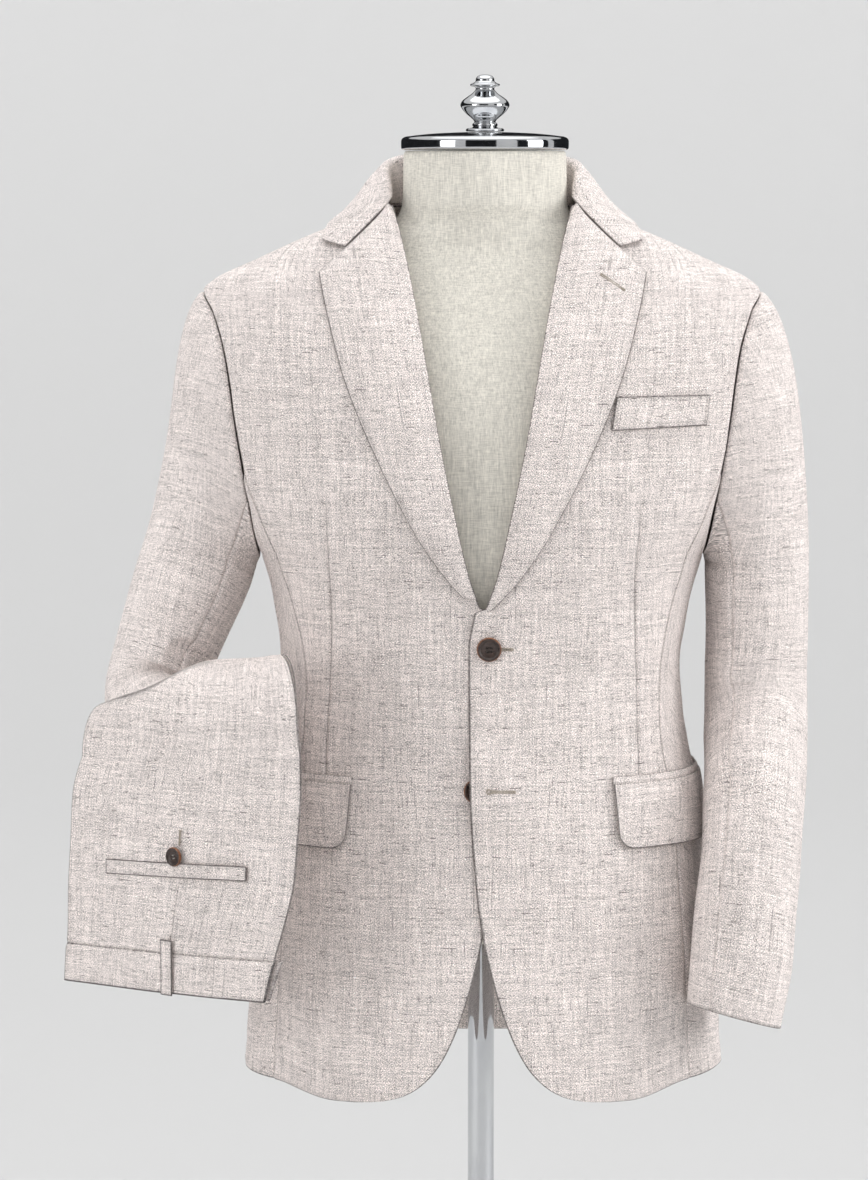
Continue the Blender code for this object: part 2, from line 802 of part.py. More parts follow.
def lathe(name, profile, material, origin=(0, 0, 0), axis=(0, 0, 1), steps=24):
    """A solid turned about an axis from (radius, height) points; a zero radius closes it."""
    points, rings = [], []
    for radius, height in profile:
        if radius == 0:
            rings.append([len(points)])
            points.append(np.array([0, 0, height]))
            continue
        rings.append(range(len(points), len(points) + steps))
        for k in range(steps):
            angle = 2 * math.pi * k / steps
            points.append(np.array([radius * math.cos(angle), radius * math.sin(angle), height]))
    faces = []
    for low, high in zip(rings, rings[1:]):
        for k in range(steps):
            n = (k + 1) % steps
            if len(low) == 1:
                faces.append([low[0], high[n], high[k]])
            elif len(high) == 1:
                faces.append([low[k], low[n], high[0]])
            else:
                faces.append([low[k], low[n], high[n], high[k]])
    if signed_volume(points, faces) < 0:
        faces = [face[::-1] for face in faces]
    obj = new_object(name, points, faces, material)
    obj.location = [float(v) for v in origin]
    obj.rotation_mode = "QUATERNION"
    obj.rotation_quaternion = Vector([float(v) for v in axis]).to_track_quat("Z", "Y")
    return obj


BUTTON_THICK = 0.0036


def button(name, place, normal, radius, material):
    """A button with a raised rim and a dished middle."""
    r, t = radius, BUTTON_THICK
    profile = (
        (0, 0), (r * 0.80, 0), (r * 0.97, t * 0.28), (r, t * 0.55), (r * 0.93, t * 0.90),
        (r * 0.80, t), (r * 0.66, t * 0.80), (r * 0.50, t * 0.68), (0, t * 0.66),
    )
    lathe(name, profile, material, place, normal, 20)


def front_buttons(material):
    top = angle_of(BUTTON_LINE, BUTTON_LEVELS[0])
    button(
        "front_button_top",
        body(top, BUTTON_LEVELS[0], 0.0006),
        body_normal(top, BUTTON_LEVELS[0]),
        0.0102,
        material,
    )
    low = -angle_of(0.0055, BUTTON_LEVELS[1])
    button(
        "front_button_lower",
        body(low, BUTTON_LEVELS[1], 0.0004 - CLOTH - LAY_GAP),
        body_normal(low, BUTTON_LEVELS[1]),
        0.0102,
        material,
    )


# The trousers, over the bent forearm with their waist down, in the bent sleeve's frame. FOLD is the
# ridge over the forearm, the line that the cloth comes down behind it, and the share of that way which
# it goes; TROUSER_EDGES holds the two sides of the part that hangs in front.
FOLD = table(
    "share  x       y        z       back_x  back_y   way",
    (0.00, 0.3120, -0.0860, 0.9520, 0.2750, -0.0450, 0.03),
    (0.25, 0.2730, -0.1090, 0.9700, 0.2340, -0.0660, 0.03),
    (0.42, 0.2420, -0.1050, 0.9840, 0.2010, -0.0600, 0.08),
    (0.52, 0.2260, -0.1000, 0.9890, 0.1840, -0.0530, 0.30),
    (0.64, 0.2060, -0.1120, 0.9930, 0.1705, -0.0725, 1.00),
    (0.80, 0.1830, -0.1310, 0.9960, 0.1580, -0.0895, 1.00),
    (1.00, 0.1560, -0.1570, 1.0040, 0.1500, -0.1140, 1.00),
)
BACK_END = 0.858        # level where the cloth behind the forearm ends
TROUSER_EDGES = table(
    "level  outer   inner",
    (0.714, 0.3492, 0.1682),
    (0.7624, 0.3462, 0.1594),
    (0.798, 0.3450, 0.1514),
    (0.826, 0.3443, 0.1466),
    (0.874, 0.3405, 0.1450),
    (0.9217, 0.3270, 0.1450),
    (0.9616, 0.3120, 0.1474),
    (1.004, 0.3050, 0.1560),
)
BAND_TOP = table("share  level", (0.0, 0.7468), (1.0, 0.7577))
BAND_LOW = table("share  level", (0.0, 0.7161), (1.0, 0.7243))
FOLD_DROP = 0.046       # from the fold's ridge to where the front part hangs straight


def hanging(share, level, out=0.0):
    """A point of the part of the trousers that hangs in front, from its outer edge to its inner one."""
    outer, inner = at(TROUSER_EDGES, "outer", level), at(TROUSER_EDGES, "inner", level)
    x = outer + (inner - outer) * share
    y = -0.062 - (0.345 - x) * 0.82 - 0.006 * math.sin(math.pi * share)
    normal = np.array([0.634, -0.773, 0.0])
    return np.array([x, y, level]) + normal * out


def hanging_share(x, level):
    outer, inner = at(TROUSER_EDGES, "outer", level), at(TROUSER_EDGES, "inner", level)
    return (x - outer) / (inner - outer)


def along(path, count):
    """Points spread evenly along a path, from its end back to its start."""
    path = np.array(path)
    run = np.concatenate([[0], np.cumsum(np.linalg.norm(np.diff(path, axis=0), axis=1))])
    wanted = np.linspace(run[-1], 0, count + 1)
    return [np.array([np.interp(w, run, path[:, k]) for k in range(3)]) for w in wanted]


def draped_section(share, back_rows=8, hang_rows=7):
    """The trousers' cloth at one share of their width, from behind the forearm to the waistband."""
    row = {name: at(FOLD, name, share, "share") for name in FOLD}
    ridge = np.array([row["x"], row["y"], row["z"]])
    back = np.array([row["back_x"], row["back_y"], row["z"] - FOLD_DROP])
    down = []
    for k in range(13):
        angle = math.pi / 2 * k / 12
        flat = ridge + (back - ridge) * math.sin(angle)
        down.append(np.array([flat[0], flat[1], back[2] + FOLD_DROP * math.cos(angle)]))
    down += [back + (np.array([back[0], back[1], BACK_END]) - back) * k / 6 for k in range(1, 7)]
    run = np.concatenate([[0], np.cumsum([np.linalg.norm(b - a) for a, b in zip(down, down[1:])])])
    limit = max(row["way"], 0.02) * run[-1]
    kept = [p for p, r in zip(down, run) if r < limit]
    kept.append(np.array([np.interp(limit, run, np.array(down)[:, k]) for k in range(3)]))
    points = along(kept, back_rows)
    front = hanging(share, row["z"] - FOLD_DROP)
    for degrees in (70, 50, 25, 0):
        angle = math.radians(degrees)
        flat = ridge + (front - ridge) * math.cos(angle)
        points.append(np.array([flat[0], flat[1], front[2] + FOLD_DROP * math.sin(angle)]))
    end = at(BAND_TOP, "level", share, "share") + 0.0004
    for k in range(1, hang_rows + 1):
        points.append(hanging(share, front[2] + (end - front[2]) * k / hang_rows))
    return points


def mirrored(points):
    return np.asarray(points) * np.array([-1, 1, 1])


def folded_trousers(material, columns=14):
    outer = np.array([draped_section(k / columns) for k in range(columns + 1)])
    normals = grid_normals(outer)
    if normals[columns // 2, -2, 1] > 0:
        normals = -normals
    wall("trouser_seat", mirrored(outer), mirrored(outer - normals * LIGHT_CLOTH), material)


def hung_strip(name, corners, material, out, thick, columns=8, rows=1):
    """A piece on the hanging part, from (share, level) corners: low outer, low inner, top inner, top outer."""
    low_outer, low_inner, top_inner, top_outer = (np.array(c) for c in corners)
    faces = []
    for layer in (out, out - thick):
        grid = []
        for i in range(rows + 1):
            start = low_outer + (top_outer - low_outer) * i / rows
            end = low_inner + (top_inner - low_inner) * i / rows
            line = [start + (end - start) * k / columns for k in range(columns + 1)]
            grid.append([hanging(share, level, layer) for share, level in line])
        faces.append(mirrored(grid))
    wall(name, faces[0], faces[1], material)


def waistbands(material):
    top = [BAND_TOP["level"][k] for k in (0, 1)]
    low = [BAND_LOW["level"][k] for k in (0, 1)]
    corners = ((0, low[0]), (1, low[1]), (1, top[1]), (0, top[0]))
    hung_strip("trouser_waistband", corners, material, 0.0008, 0.0032, 14, 3)
    inner = ((0.01, low[0] + 0.001), (1.022, low[1] + 0.001), (1.022, top[1]), (0.01, top[0]))
    hung_strip("trouser_waistband_under", inner, material, -0.0032, 0.0032, 14, 3)


def trouser_details(material, button_material):
    places = ((0.2572, 0.7191), (0.2572, 0.7638))
    half = 0.026
    low, top = ((hanging_share(x, level), level) for x, level in places)
    corners = (
        (low[0] - half, low[1]), (low[0] + half, low[1]),
        (top[0] + half, top[1]), (top[0] - half, top[1]),
    )
    hung_strip("belt_loop", corners, material, 0.0032, 0.0018, 2, 6)
    corners = []
    for x, level in ((0.3102, 0.8121), (0.1903, 0.8218), (0.1903, 0.8330), (0.3102, 0.8236)):
        corners.append((hanging_share(x, level), level))
    hung_strip("trouser_pocket_welt", corners, material, 0.0018, 0.0014, 10, 1)
    x, level = 0.2493, 0.8343
    place = mirrored(hanging(hanging_share(x, level), level, 0.0024))
    button("trouser_pocket_button", place, (-0.634, -0.773, 0), 0.0080, button_material)


def folded_legs(material, columns=10):
    """The rest of the trousers, folded up behind the part that hangs in front: one rounded solid."""
    outline = []
    for k in range(20):
        angle = 2 * math.pi * k / 20
        outline.append([
            math.copysign(abs(math.cos(angle)) ** 0.5, math.cos(angle)),
            math.copysign(abs(math.sin(angle)) ** 0.62, math.sin(angle)),
        ])
    rings = []
    for k in range(columns + 1):
        t = k / columns
        share = 0.07 + 0.72 * t
        full = (1 - (2 * t - 1) ** 6) ** 0.5
        low, top = 0.7620 + 0.010 * share, 0.8560 + 0.022 * share
        middle, half = (low + top) / 2, (top - low) / 2 * max(full, 0.35)
        depth = 0.0180 * max(full, 0.25)
        ring = []
        for across, up in outline:
            level = middle + half * up
            ring.append(hanging(share, level, -LIGHT_CLOTH - 0.0007 - 0.018 + depth * across))
        rings.append(ring)
    points = [p for ring in rings for p in ring]
    count = len(outline)
    faces = [list(range(count)), [columns * count + k for k in range(count)][::-1]]
    for i in range(columns):
        for k in range(count):
            n = (k + 1) % count
            faces.append([i * count + k, (i + 1) * count + k, (i + 1) * count + n, i * count + n])
    points = list(mirrored(points))
    if signed_volume(points, faces) < 0:
        faces = [face[::-1] for face in faces]
    new_object("trouser_folded_legs", points, faces, material)


# The dress form: half width, front and back depth of its sections
FORM = table(
    "level  wide    front   back",
    (0.752, 0.1460, 0.0960, 0.0960),
    (0.760, 0.1520, 0.1010, 0.1010),
    (0.850, 0.1600, 0.1060, 0.1080),
    (0.930, 0.1500, 0.1010, 0.0960),
    (0.978, 0.1460, 0.1010, 0.0900),
    (1.070, 0.1600, 0.1110, 0.0990),
    (1.173, 0.1780, 0.1080, 0.1070),
    (1.240, 0.1830, 0.0960, 0.1000),
    (1.275, 0.1780, 0.0840, 0.0910),
    (1.300, 0.1600, 0.0745, 0.0830),
    (1.330, 0.1060, 0.0660, 0.0710),
    (1.350, 0.0740, 0.0690, 0.0620),
    (1.364, 0.0690, 0.0745, 0.0620),
    (1.4068, 0.0680, 0.0740, 0.0620),
)
NECK_CENTRE = (0.0025, -0.006, 0.0)


def form_torso(material, steps=28, rows=20):
    rings = []
    for i in range(rows + 1):
        level = FORM_BOTTOM + (1.4068 - FORM_BOTTOM) * (i / rows)
        wide, front, back = (at(FORM, name, level) for name in ("wide", "front", "back"))
        power = 2 / (2.0 + 0.25 * ramp(level, 1.36, 1.28))
        ring = []
        for k in range(steps):
            angle = 2 * math.pi * k / steps
            s, c = math.sin(angle), math.cos(angle)
            x = math.copysign(wide * abs(s) ** power, s) + NECK_CENTRE[0] * ramp(level, 1.30, 1.37)
            y = -math.copysign((front if c > 0 else back) * abs(c) ** power, c)
            ring.append([x, y, level])
        rings.append(ring)
    points = [np.array(p) for ring in rings for p in ring]
    faces = [list(range(steps)), [rows * steps + k for k in range(steps)][::-1]]
    for i in range(rows):
        for k in range(steps):
            n = (k + 1) % steps
            faces.append([i * steps + k, (i + 1) * steps + k, (i + 1) * steps + n, i * steps + n])
    if signed_volume(points, faces) < 0:
        faces = [face[::-1] for face in faces]
    new_object("form_torso", points, faces, material)


def form_fittings(chrome):
    cap = (
        (0, CAP_BOTTOM), (0.0685, CAP_BOTTOM), (0.0697, CAP_BOTTOM + 0.0012), (0.0700, 1.4150),
        (0.0692, 1.4170), (0.0660, 1.4186), (0.0500, 1.4208), (0.0250, 1.4222), (0, 1.4226),
    )
    lathe("form_cap", cap, chrome, NECK_CENTRE, steps=36)
    finial = (
        (0, 1.4229), (0.0155, 1.4229), (0.0160, 1.4238), (0.0155, 1.4250), (0.0100, 1.4262),
        (0.0098, 1.4272), (0.0106, 1.4280), (0.0104, 1.4292), (0.0088, 1.4306), (0.0100, 1.4325),
        (0.0150, 1.4368), (0.0190, 1.4415), (0.0205, 1.4446), (0.0190, 1.4480), (0.0140, 1.4522),
        (0.0095, 1.4555), (0.0077, 1.4585), (0.0090, 1.4602), (0.0122, 1.4608), (0.0124, 1.4620),
        (0.0100, 1.4630), (0.0077, 1.4645), (0.0077, 1.4668), (0.0060, 1.4690), (0, 1.4700),
    )
    lathe("form_finial", finial, chrome, NECK_CENTRE, steps=20)
    flange = ((0, 0.7455), (0.040, 0.7455), (0.041, 0.7465), (0.041, 0.7505), (0.040, 0.7515), (0, 0.7515))
    lathe("form_flange", flange, chrome)
    r = POLE_RADIUS
    pole = ((0, 0.0303), (r * 0.93, 0.0303), (r, 0.0313), (r, 0.7442), (r * 0.93, 0.7452), (0, 0.7452))
    lathe("form_pole", pole, chrome)
    base = (
        (0, 0), (BASE_RADIUS - 0.002, 0), (BASE_RADIUS, 0.002), (BASE_RADIUS, 0.006),
        (BASE_RADIUS - 0.003, 0.009), (BASE_RADIUS - 0.012, 0.0105), (0.030, 0.0140),
        (0.021, 0.0150), (0.019, 0.0170), (0.019, 0.0280), (0.017, 0.0300), (0, 0.0300),
    )
    lathe("form_base", base, chrome, steps=44)


def plain(name, colour, metallic=0.0, roughness=0.8):
    """A material of one colour."""
    material = bpy.data.materials.new(name)
    material.use_nodes = True
    shader = material.node_tree.nodes["Principled BSDF"]
    shader.inputs["Base Color"].default_value = (*colour, 1)
    shader.inputs["Metallic"].default_value = metallic
    shader.inputs["Roughness"].default_value = roughness
    material.diffuse_color = (*colour, 1)
    return material


def group(name, first_words):
    """An empty that holds the objects whose names start with one of these words."""
    empty = bpy.data.objects.new(name, None)
    bpy.context.scene.collection.objects.link(empty)
    for obj in bpy.data.objects:
        if obj.type == "MESH" and obj.name.split("_")[0] in first_words:
            obj.parent = empty


def main():
    linen = plain("natural linen", (0.66, 0.61, 0.55))
    cover = plain("form cover", (0.78, 0.74, 0.66))
    horn = plain("dark horn", (0.09, 0.06, 0.045), roughness=0.35)
    chrome = plain("chrome", (0.75, 0.75, 0.76), 1.0, 0.12)
    for side, word in ((1, "left"), (-1, "right")):
        body_sheet(f"jacket_front_{word}", front_places(side), linen, side=side)
        body_sheet(f"jacket_side_{word}", side_panel_places(), linen, side=side)
        body_sheet(f"jacket_back_{word}", back_places(side), linen, side=side)
        body_sheet(f"lapel_{word}", lapel_places(side), linen, out=ON_PANEL, side=side)
        sleeve(word, side, linen)
        hip_jet(word, side, linen)
        hip_flap(word, side, linen)
    collar(linen)
    collar_stand(linen)
    breast_welt(linen)
    front_buttons(horn)
    folded_trousers(linen)
    waistbands(linen)
    trouser_details(linen, horn)
    folded_legs(linen)
    form_torso(cover)
    form_fittings(chrome)
    group("trousers", ("trouser", "belt"))
    group("dress form", ("form",))
    group("jacket", ("jacket", "lapel", "sleeve", "collar", "breast", "hip", "front"))


main()
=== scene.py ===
import math

import bmesh
import bpy
import numpy as np
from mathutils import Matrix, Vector


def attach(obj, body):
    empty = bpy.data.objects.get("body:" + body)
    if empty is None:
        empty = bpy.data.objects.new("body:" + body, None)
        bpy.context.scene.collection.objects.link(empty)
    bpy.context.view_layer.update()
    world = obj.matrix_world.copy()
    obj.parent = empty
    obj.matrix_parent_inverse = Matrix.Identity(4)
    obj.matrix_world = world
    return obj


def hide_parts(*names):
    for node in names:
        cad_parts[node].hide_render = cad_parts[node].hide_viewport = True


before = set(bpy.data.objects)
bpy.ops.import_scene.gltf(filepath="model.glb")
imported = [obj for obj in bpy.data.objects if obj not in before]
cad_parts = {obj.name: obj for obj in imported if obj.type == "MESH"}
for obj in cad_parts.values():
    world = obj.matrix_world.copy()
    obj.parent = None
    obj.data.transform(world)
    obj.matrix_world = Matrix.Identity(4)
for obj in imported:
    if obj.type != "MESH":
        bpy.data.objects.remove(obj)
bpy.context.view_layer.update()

# Driving sizes of the solids, in metres
CLOTH = 0.0022
LIGHT_CLOTH = 0.0018
LAY_GAP = 0.0004
HEM = 0.637
HEM_DROP = 0.012
NECK_POINT = 1.362
SHOULDER_POINT = 1.291
UNDERARM = 1.070
BREAK_POINT = 1.031
BUTTON_LEVELS = (1.001, 0.884)
BUTTON_LINE = 0.005
ARMHOLE_FRONT = 0.064
ARMHOLE_BACK = 0.070
ARMHOLE_ROUND = 2.3
BODY_ROUND = 2.25
VENT_TOP = 0.860
VENT_OVERLAP = 0.034
VENT_STEP = 0.0032
ON_PANEL = CLOTH + 0.0012
FRONT, SIDE, BACK = 0.0, math.pi / 2, math.pi
ARMHOLE_MIDDLE = (UNDERARM + SHOULDER_POINT) / 2

# Sizes of the dressed model
GRID = 0.0034           # usual distance between the points of a sheet
EDGE_GRID = 0.0008      # distance between them beside an edge
SEAM_OPEN = 0.00012     # half the gap between two sewn sheets
SEAM_DIP, SEAM_DIP_WIDTH = 0.0011, 0.0016   # how a sewn edge dips into its seam
DART_DIP_WIDTH, DART_LINE = 0.0013, 0.0006  # the same at a dart, and the width of its painted line of shade
RIM_BULGE = 0.38        # how far a rim stands out, as a share of the cloth's thickness
# RIM_SHADE is the painted shade given to every sheet's rim, a dark line along its edge.
RIM_SHADE = 0.85
MIRROR = np.array([-1.0, 1.0, 1.0])
SIDES = ((1, "left"), (-1, "right"))

noise_source = np.random.default_rng(7)


def table(columns, *rows):
    """A short table: the values of each named column, by name."""
    names = columns.split()
    return {name: [row[k] for row in rows] for k, name in enumerate(names)}


def curve(first, last, slope, last_slope, h, t):
    """Between two values, over a length h, with these slopes at the ends; t is the share of the way."""
    return (
        first * (1 + 2 * t) * (1 - t) ** 2
        + last * t * t * (3 - 2 * t)
        + h * slope * t * (1 - t) ** 2
        - h * last_slope * t * t * (1 - t)
    )


def at(tab, column, level, key="level"):
    """A column's values at some levels, on a smooth curve through the rows that never overshoots them."""
    xs = np.asarray(tab[key], float)
    ys = np.asarray(tab[column], float)
    if xs[0] > xs[-1]:
        xs, ys = xs[::-1], ys[::-1]
    level = np.clip(level, xs[0], xs[-1])
    k = np.clip(np.searchsorted(xs, level) - 1, 0, len(xs) - 2)
    steps = np.diff(xs)
    slopes = np.diff(ys) / steps
    both = slopes[:-1] * slopes[1:]
    total = np.where(both > 0, slopes[:-1] + slopes[1:], 1.0)
    ends = np.concatenate([slopes[:1], np.where(both > 0, 2 * both / total, 0.0), slopes[-1:]])
    h = steps[k]
    return curve(ys[k], ys[k + 1], ends[k], ends[k + 1], h, (level - xs[k]) / h)


# The jacket's body, from the hem to the neck. seam is the half width at the side, the armhole seam
# or the shoulder seam, whichever the level meets, and front and back are the depths in the middle.
BODY = table(
    "level  seam    front   back",
    (0.625, 0.2035, 0.1360, 0.1330),
    (0.700, 0.1990, 0.1325, 0.1320),
    (0.790, 0.1925, 0.1290, 0.1310),
    (0.870, 0.1840, 0.1240, 0.1240),
    (0.930, 0.1720, 0.1190, 0.1140),
    (0.978, 0.1685, 0.1180, 0.1080),
    (1.030, 0.1750, 0.1225, 0.1110),
    (1.070, 0.1855, 0.1280, 0.1170),
    (1.114, 0.1935, 0.1300, 0.1220),
    (1.173, 0.2035, 0.1260, 0.1250),
    (1.240, 0.2135, 0.1130, 0.1170),
    (1.275, 0.2240, 0.1010, 0.1080),
    (1.291, 0.2325, 0.0950, 0.1030),
    (1.300, 0.2235, 0.0910, 0.1000),
    (1.316, 0.1900, 0.0835, 0.0940),
    (1.333, 0.1530, 0.0750, 0.0870),
    (1.348, 0.1170, 0.0665, 0.0810),
    (1.362, 0.0830, 0.0580, 0.0750),
)

# Lines of the front, as distances from the middle plane: the roll line, the lapel's outer edge,
# the gorge seam between lapel and collar, and the cutaway front edge below the lower button.
ROLL = table(
    "level  x",
    (1.031, 0.0020),
    (1.060, 0.0120),
    (1.110, 0.0235),
    (1.163, 0.0345),
    (1.225, 0.0455),
    (1.286, 0.0565),
    (1.335, 0.0670),
    (1.362, 0.0745),
)
LAPEL = table(
    "level  x",
    (1.031, 0.0040),
    (1.053, 0.0250),
    (1.085, 0.0480),
    (1.130, 0.0730),
    (1.180, 0.0965),
    (1.220, 0.1120),
    (1.260, 0.1235),
    (1.300, 0.1325),
    (1.306, 0.1335),
)
GORGE = table(
    "level  x",
    (1.306, 0.1335),
    (1.326, 0.1110),
    (1.342, 0.0935),
    (1.3595, 0.0750),
)
CUTAWAY = table(
    "level  x",
    (0.637, 0.1050),
    (0.6385, 0.0850),
    (0.643, 0.0670),
    (0.653, 0.0500),
    (0.668, 0.0360),
    (0.690, 0.0235),
    (0.715, 0.0135),
    (0.757, 0.0020),
    (0.800, -0.0045),
    (0.884, -0.0100),
    (1.001, -0.0110),
    (1.031, -0.0060),
)


def ramp(value, start, end):
    """0 before start, 1 after end, and smooth between them; start may be the larger."""
    t = np.clip((np.asarray(value, float) - start) / (end - start), 0.0, 1.0)
    return t * t * (3 - 2 * t)


def armhole_share(level):
    """How far a level is up the armhole: -1 at the underarm, 1 at the shoulder point."""
    return (level - ARMHOLE_MIDDLE) / (SHOULDER_POINT - ARMHOLE_MIDDLE)


def armhole_depth(level, half):
    """Distance of the armhole seam from the side line, on the front half or the back half."""
    share = np.minimum(np.abs(armhole_share(level)), 1.0)
    greatest = ARMHOLE_FRONT if half == FRONT else ARMHOLE_BACK
    return greatest * (1 - share**ARMHOLE_ROUND) ** (1 / ARMHOLE_ROUND)


def body_size(level, half):
    """Half width and depth of the body's section, which runs through the armhole's seam."""
    depth = at(BODY, "front" if half == FRONT else "back", level)
    seam = at(BODY, "seam", level)
    cut = armhole_depth(level, half) / depth
    return seam / (1 - cut**BODY_ROUND) ** (1 / BODY_ROUND), depth


def bare_body(angle, level):
    s, c = np.sin(angle), np.cos(angle)
    ahead = c >= 0
    front_wide, front_deep = body_size(level, FRONT)
    back_wide, back_deep = body_size(level, BACK)
    wide = np.where(ahead, front_wide, back_wide)
    deep = np.where(ahead, front_deep, back_deep)
    power = 2 / BODY_ROUND
    x = np.copysign(wide * np.abs(s) ** power, s)
    y = -np.copysign(deep * np.abs(c) ** power, c)
    return np.stack(np.broadcast_arrays(x, y, level), axis=-1)


def body_normal(angle, level):
    """Unit normals of the body, pointing out."""
    d_angle, d_level = 0.02, 0.002
    low = np.clip(level, BODY["level"][0] + d_level, NECK_POINT - d_level)
    across = bare_body(angle + d_angle, low) - bare_body(angle - d_angle, low)
    up = bare_body(angle, low + d_level) - bare_body(angle, low - d_level)
    normal = np.cross(across, up)
    return normal / np.linalg.norm(normal, axis=-1, keepdims=True)


def body(angle, level, out=0.0):
    """Points of the jacket's body. The angle is 0 at the front, a quarter turn at the wearer's left."""
    angle, level, out = np.broadcast_arrays(*(np.asarray(v, float) for v in (angle, level, out)))
    return bare_body(angle, level) + body_normal(angle, level) * out[..., None]


def angle_of(x, level, half=FRONT):
    """The angle at which the body has this distance from the middle plane."""
    width, _ = body_size(level, half)
    share = np.minimum(np.abs(x) / width, 1.0) ** (BODY_ROUND / 2)
    angle = np.copysign(np.arcsin(share), x)
    return angle if half == FRONT else np.copysign(math.pi, x) - angle


def armhole_angle(level, half):
    """The angle of the armhole seam, at the wearer's left."""
    return angle_of(at(BODY, "seam", level), level, half)


# Seams beside the side panel, as angles at the wearer's left
SIDE_SEAMS = table(
    "level  front_turn  back_turn",
    (0.625, 1.00, 2.16),
    (0.880, 1.00, 2.14),
    (0.978, 1.04, 2.10),
    (1.070, 1.12, 2.02),
    (1.180, 1.12, 2.02),
)


def seam_angle(level, half):
    return at(SIDE_SEAMS, "front_turn" if half == FRONT else "back_turn", level)


def crossing(low, high, test):
    """The level between low and high where a test changes sign."""
    rising = test(high) > 0
    for _ in range(40):
        middle = (low + high) / 2
        if (test(middle) > 0) == rising:
            high = middle
        else:
            low = middle
    return (low + high) / 2


def junction(half):
    """The level where the side panel's seam meets the armhole."""
    sign = 1 if half == FRONT else -1
    return crossing(UNDERARM, ARMHOLE_MIDDLE, lambda z: sign * (seam_angle(z, half) - armhole_angle(z, half)))


JUNCTION = {half: junction(half) for half in (FRONT, BACK)}


def panel_side(level, half):
    """The outer edge of a front or back panel: side seam, armhole seam, then shoulder seam."""
    low = seam_angle(level, half)
    armhole = armhole_angle(level, half)
    side = np.where(level < JUNCTION[half], low, armhole)
    return np.where(level >= SHOULDER_POINT, SIDE, side)


def front_edge(level):
    """Distance of a front's inner edge from the middle plane: cutaway, closed edge, then roll line."""
    return np.where(level <= BREAK_POINT, at(CUTAWAY, "x", level), at(ROLL, "x", level))


def under_lap(x, level):
    """How far the right front lies back, to pass under the left one."""
    return -(CLOTH + LAY_GAP) * ramp(x, 0.065, 0.022) * ramp(level, 1.110, 1.040)


def over_button(x, level):
    """How far the left front stands out over the lower button, which it hides."""
    away = np.hypot(x + 0.004, level - BUTTON_LEVELS[1])
    return 0.0052 * ramp(away, 0.050, 0.016)


def unit(v):
    v = np.asarray(v, float)
    return v / np.linalg.norm(v, axis=-1, keepdims=True)


def spread(length, step, start, end, edge=EDGE_GRID, reach=0.010):
    """Shares from 0 to 1 along a length, closer together beside the chosen ends."""
    shares = np.linspace(0, 1, max(int(length / edge), 8) + 1)
    places = shares * length
    near = np.full_like(places, reach)
    if start:
        near = np.minimum(near, places)
    if end:
        near = np.minimum(near, length - places)
    density = 1 / (edge + (step - edge) * near / reach)
    run = np.concatenate([[0], np.cumsum((density[1:] + density[:-1]) / 2)])
    count = max(int(math.ceil(run[-1] * length / (len(shares) - 1))), 4)
    return np.interp(np.linspace(0, run[-1], count + 1), run, shares)


def joined(*parts):
    """Runs of values end to end, each given as (start, end, shares between)."""
    found = [parts[0][0]]
    for start, end, shares in parts:
        found += [start + (end - start) * s for s in shares[1:]]
    return np.array(found)


RIPPLE_WAVES = 9


def ripple(u, v, length, seed):
    """Smooth uneven waves of about this length, from -1 to 1 or so."""
    source = np.random.default_rng(seed)
    total = np.zeros(np.broadcast(u, v).shape)
    for _ in range(RIPPLE_WAVES):
        turn, phase = source.uniform(0, 2 * math.pi, 2)
        size = 2 * math.pi / (length * source.uniform(0.7, 1.6))
        total = total + np.cos(size * (u * math.cos(turn) + v * math.sin(turn)) + phase)
    return total / math.sqrt(RIPPLE_WAVES)


def creases(u, v, folds, reach, seed=3):
    """Height of soft folds. Each has its two ends as (a, b), with a in units of reach, then its width,
    its height (a depth below 0) and its bow."""
    u = u + 0.006 * ripple(u, v, 0.09, seed)
    v = v + 0.006 * ripple(u, v, 0.09, seed + 1)
    total = np.zeros(np.broadcast(u, v).shape)
    for first, v1, last, v2, wide, height, bow in folds:
        u1, u2 = first * reach, last * reach
        along = np.array([u2 - u1, v2 - v1])
        length = np.hypot(*along)
        along = along / length
        du, dv = u - u1, v - v1
        t = (du * along[0] + dv * along[1]) / length
        across = dv * along[0] - du * along[1] - bow * 4 * t * (1 - t)
        inside = np.sin(math.pi * np.clip(t, 0, 1)) ** 0.8
        total = total + height * np.exp(-((across / wide) ** 2)) * inside
    return total


def edge_runs(grid):
    """Distances of a grid's points from its left, right, bottom and top edges, along the grid."""
    across = np.linalg.norm(np.diff(grid, axis=1), axis=2)
    up = np.linalg.norm(np.diff(grid, axis=0), axis=2)
    left = np.concatenate([np.zeros((len(grid), 1)), np.cumsum(across, axis=1)], axis=1)
    low = np.concatenate([np.zeros((1, grid.shape[1])), np.cumsum(up, axis=0)], axis=0)
    return {"l": left, "r": left[:, -1:] - left, "b": low, "t": low[-1:] - low}


def grid_normals(points):
    """Unit normals of a grid of points, from its own neighbours."""
    down = np.gradient(points, axis=0)
    across = np.gradient(points, axis=1)
    normals = np.cross(across, down)
    length = np.linalg.norm(normals, axis=2, keepdims=True)
    return normals / np.maximum(length, 1e-12)


def edge_relief(grid, sewn="", free="", line=0.0022):
    """Height of the cloth at its edges: sewn ones dip into the seam, free ones are turned and stitched."""
    runs = edge_runs(grid)
    height = np.zeros(grid.shape[:2])
    for side in sewn:
        height -= SEAM_DIP * np.exp(-((runs[side] / SEAM_DIP_WIDTH) ** 2))
        height += 0.0002 * np.exp(-(((runs[side] - 0.0045) / 0.0020) ** 2))
    for side in free:
        height += 0.0002 * np.exp(-((runs[side] / 0.0012) ** 2))
        height -= 0.0003 * np.exp(-(((runs[side] - line) / 0.0007) ** 2))
    return height


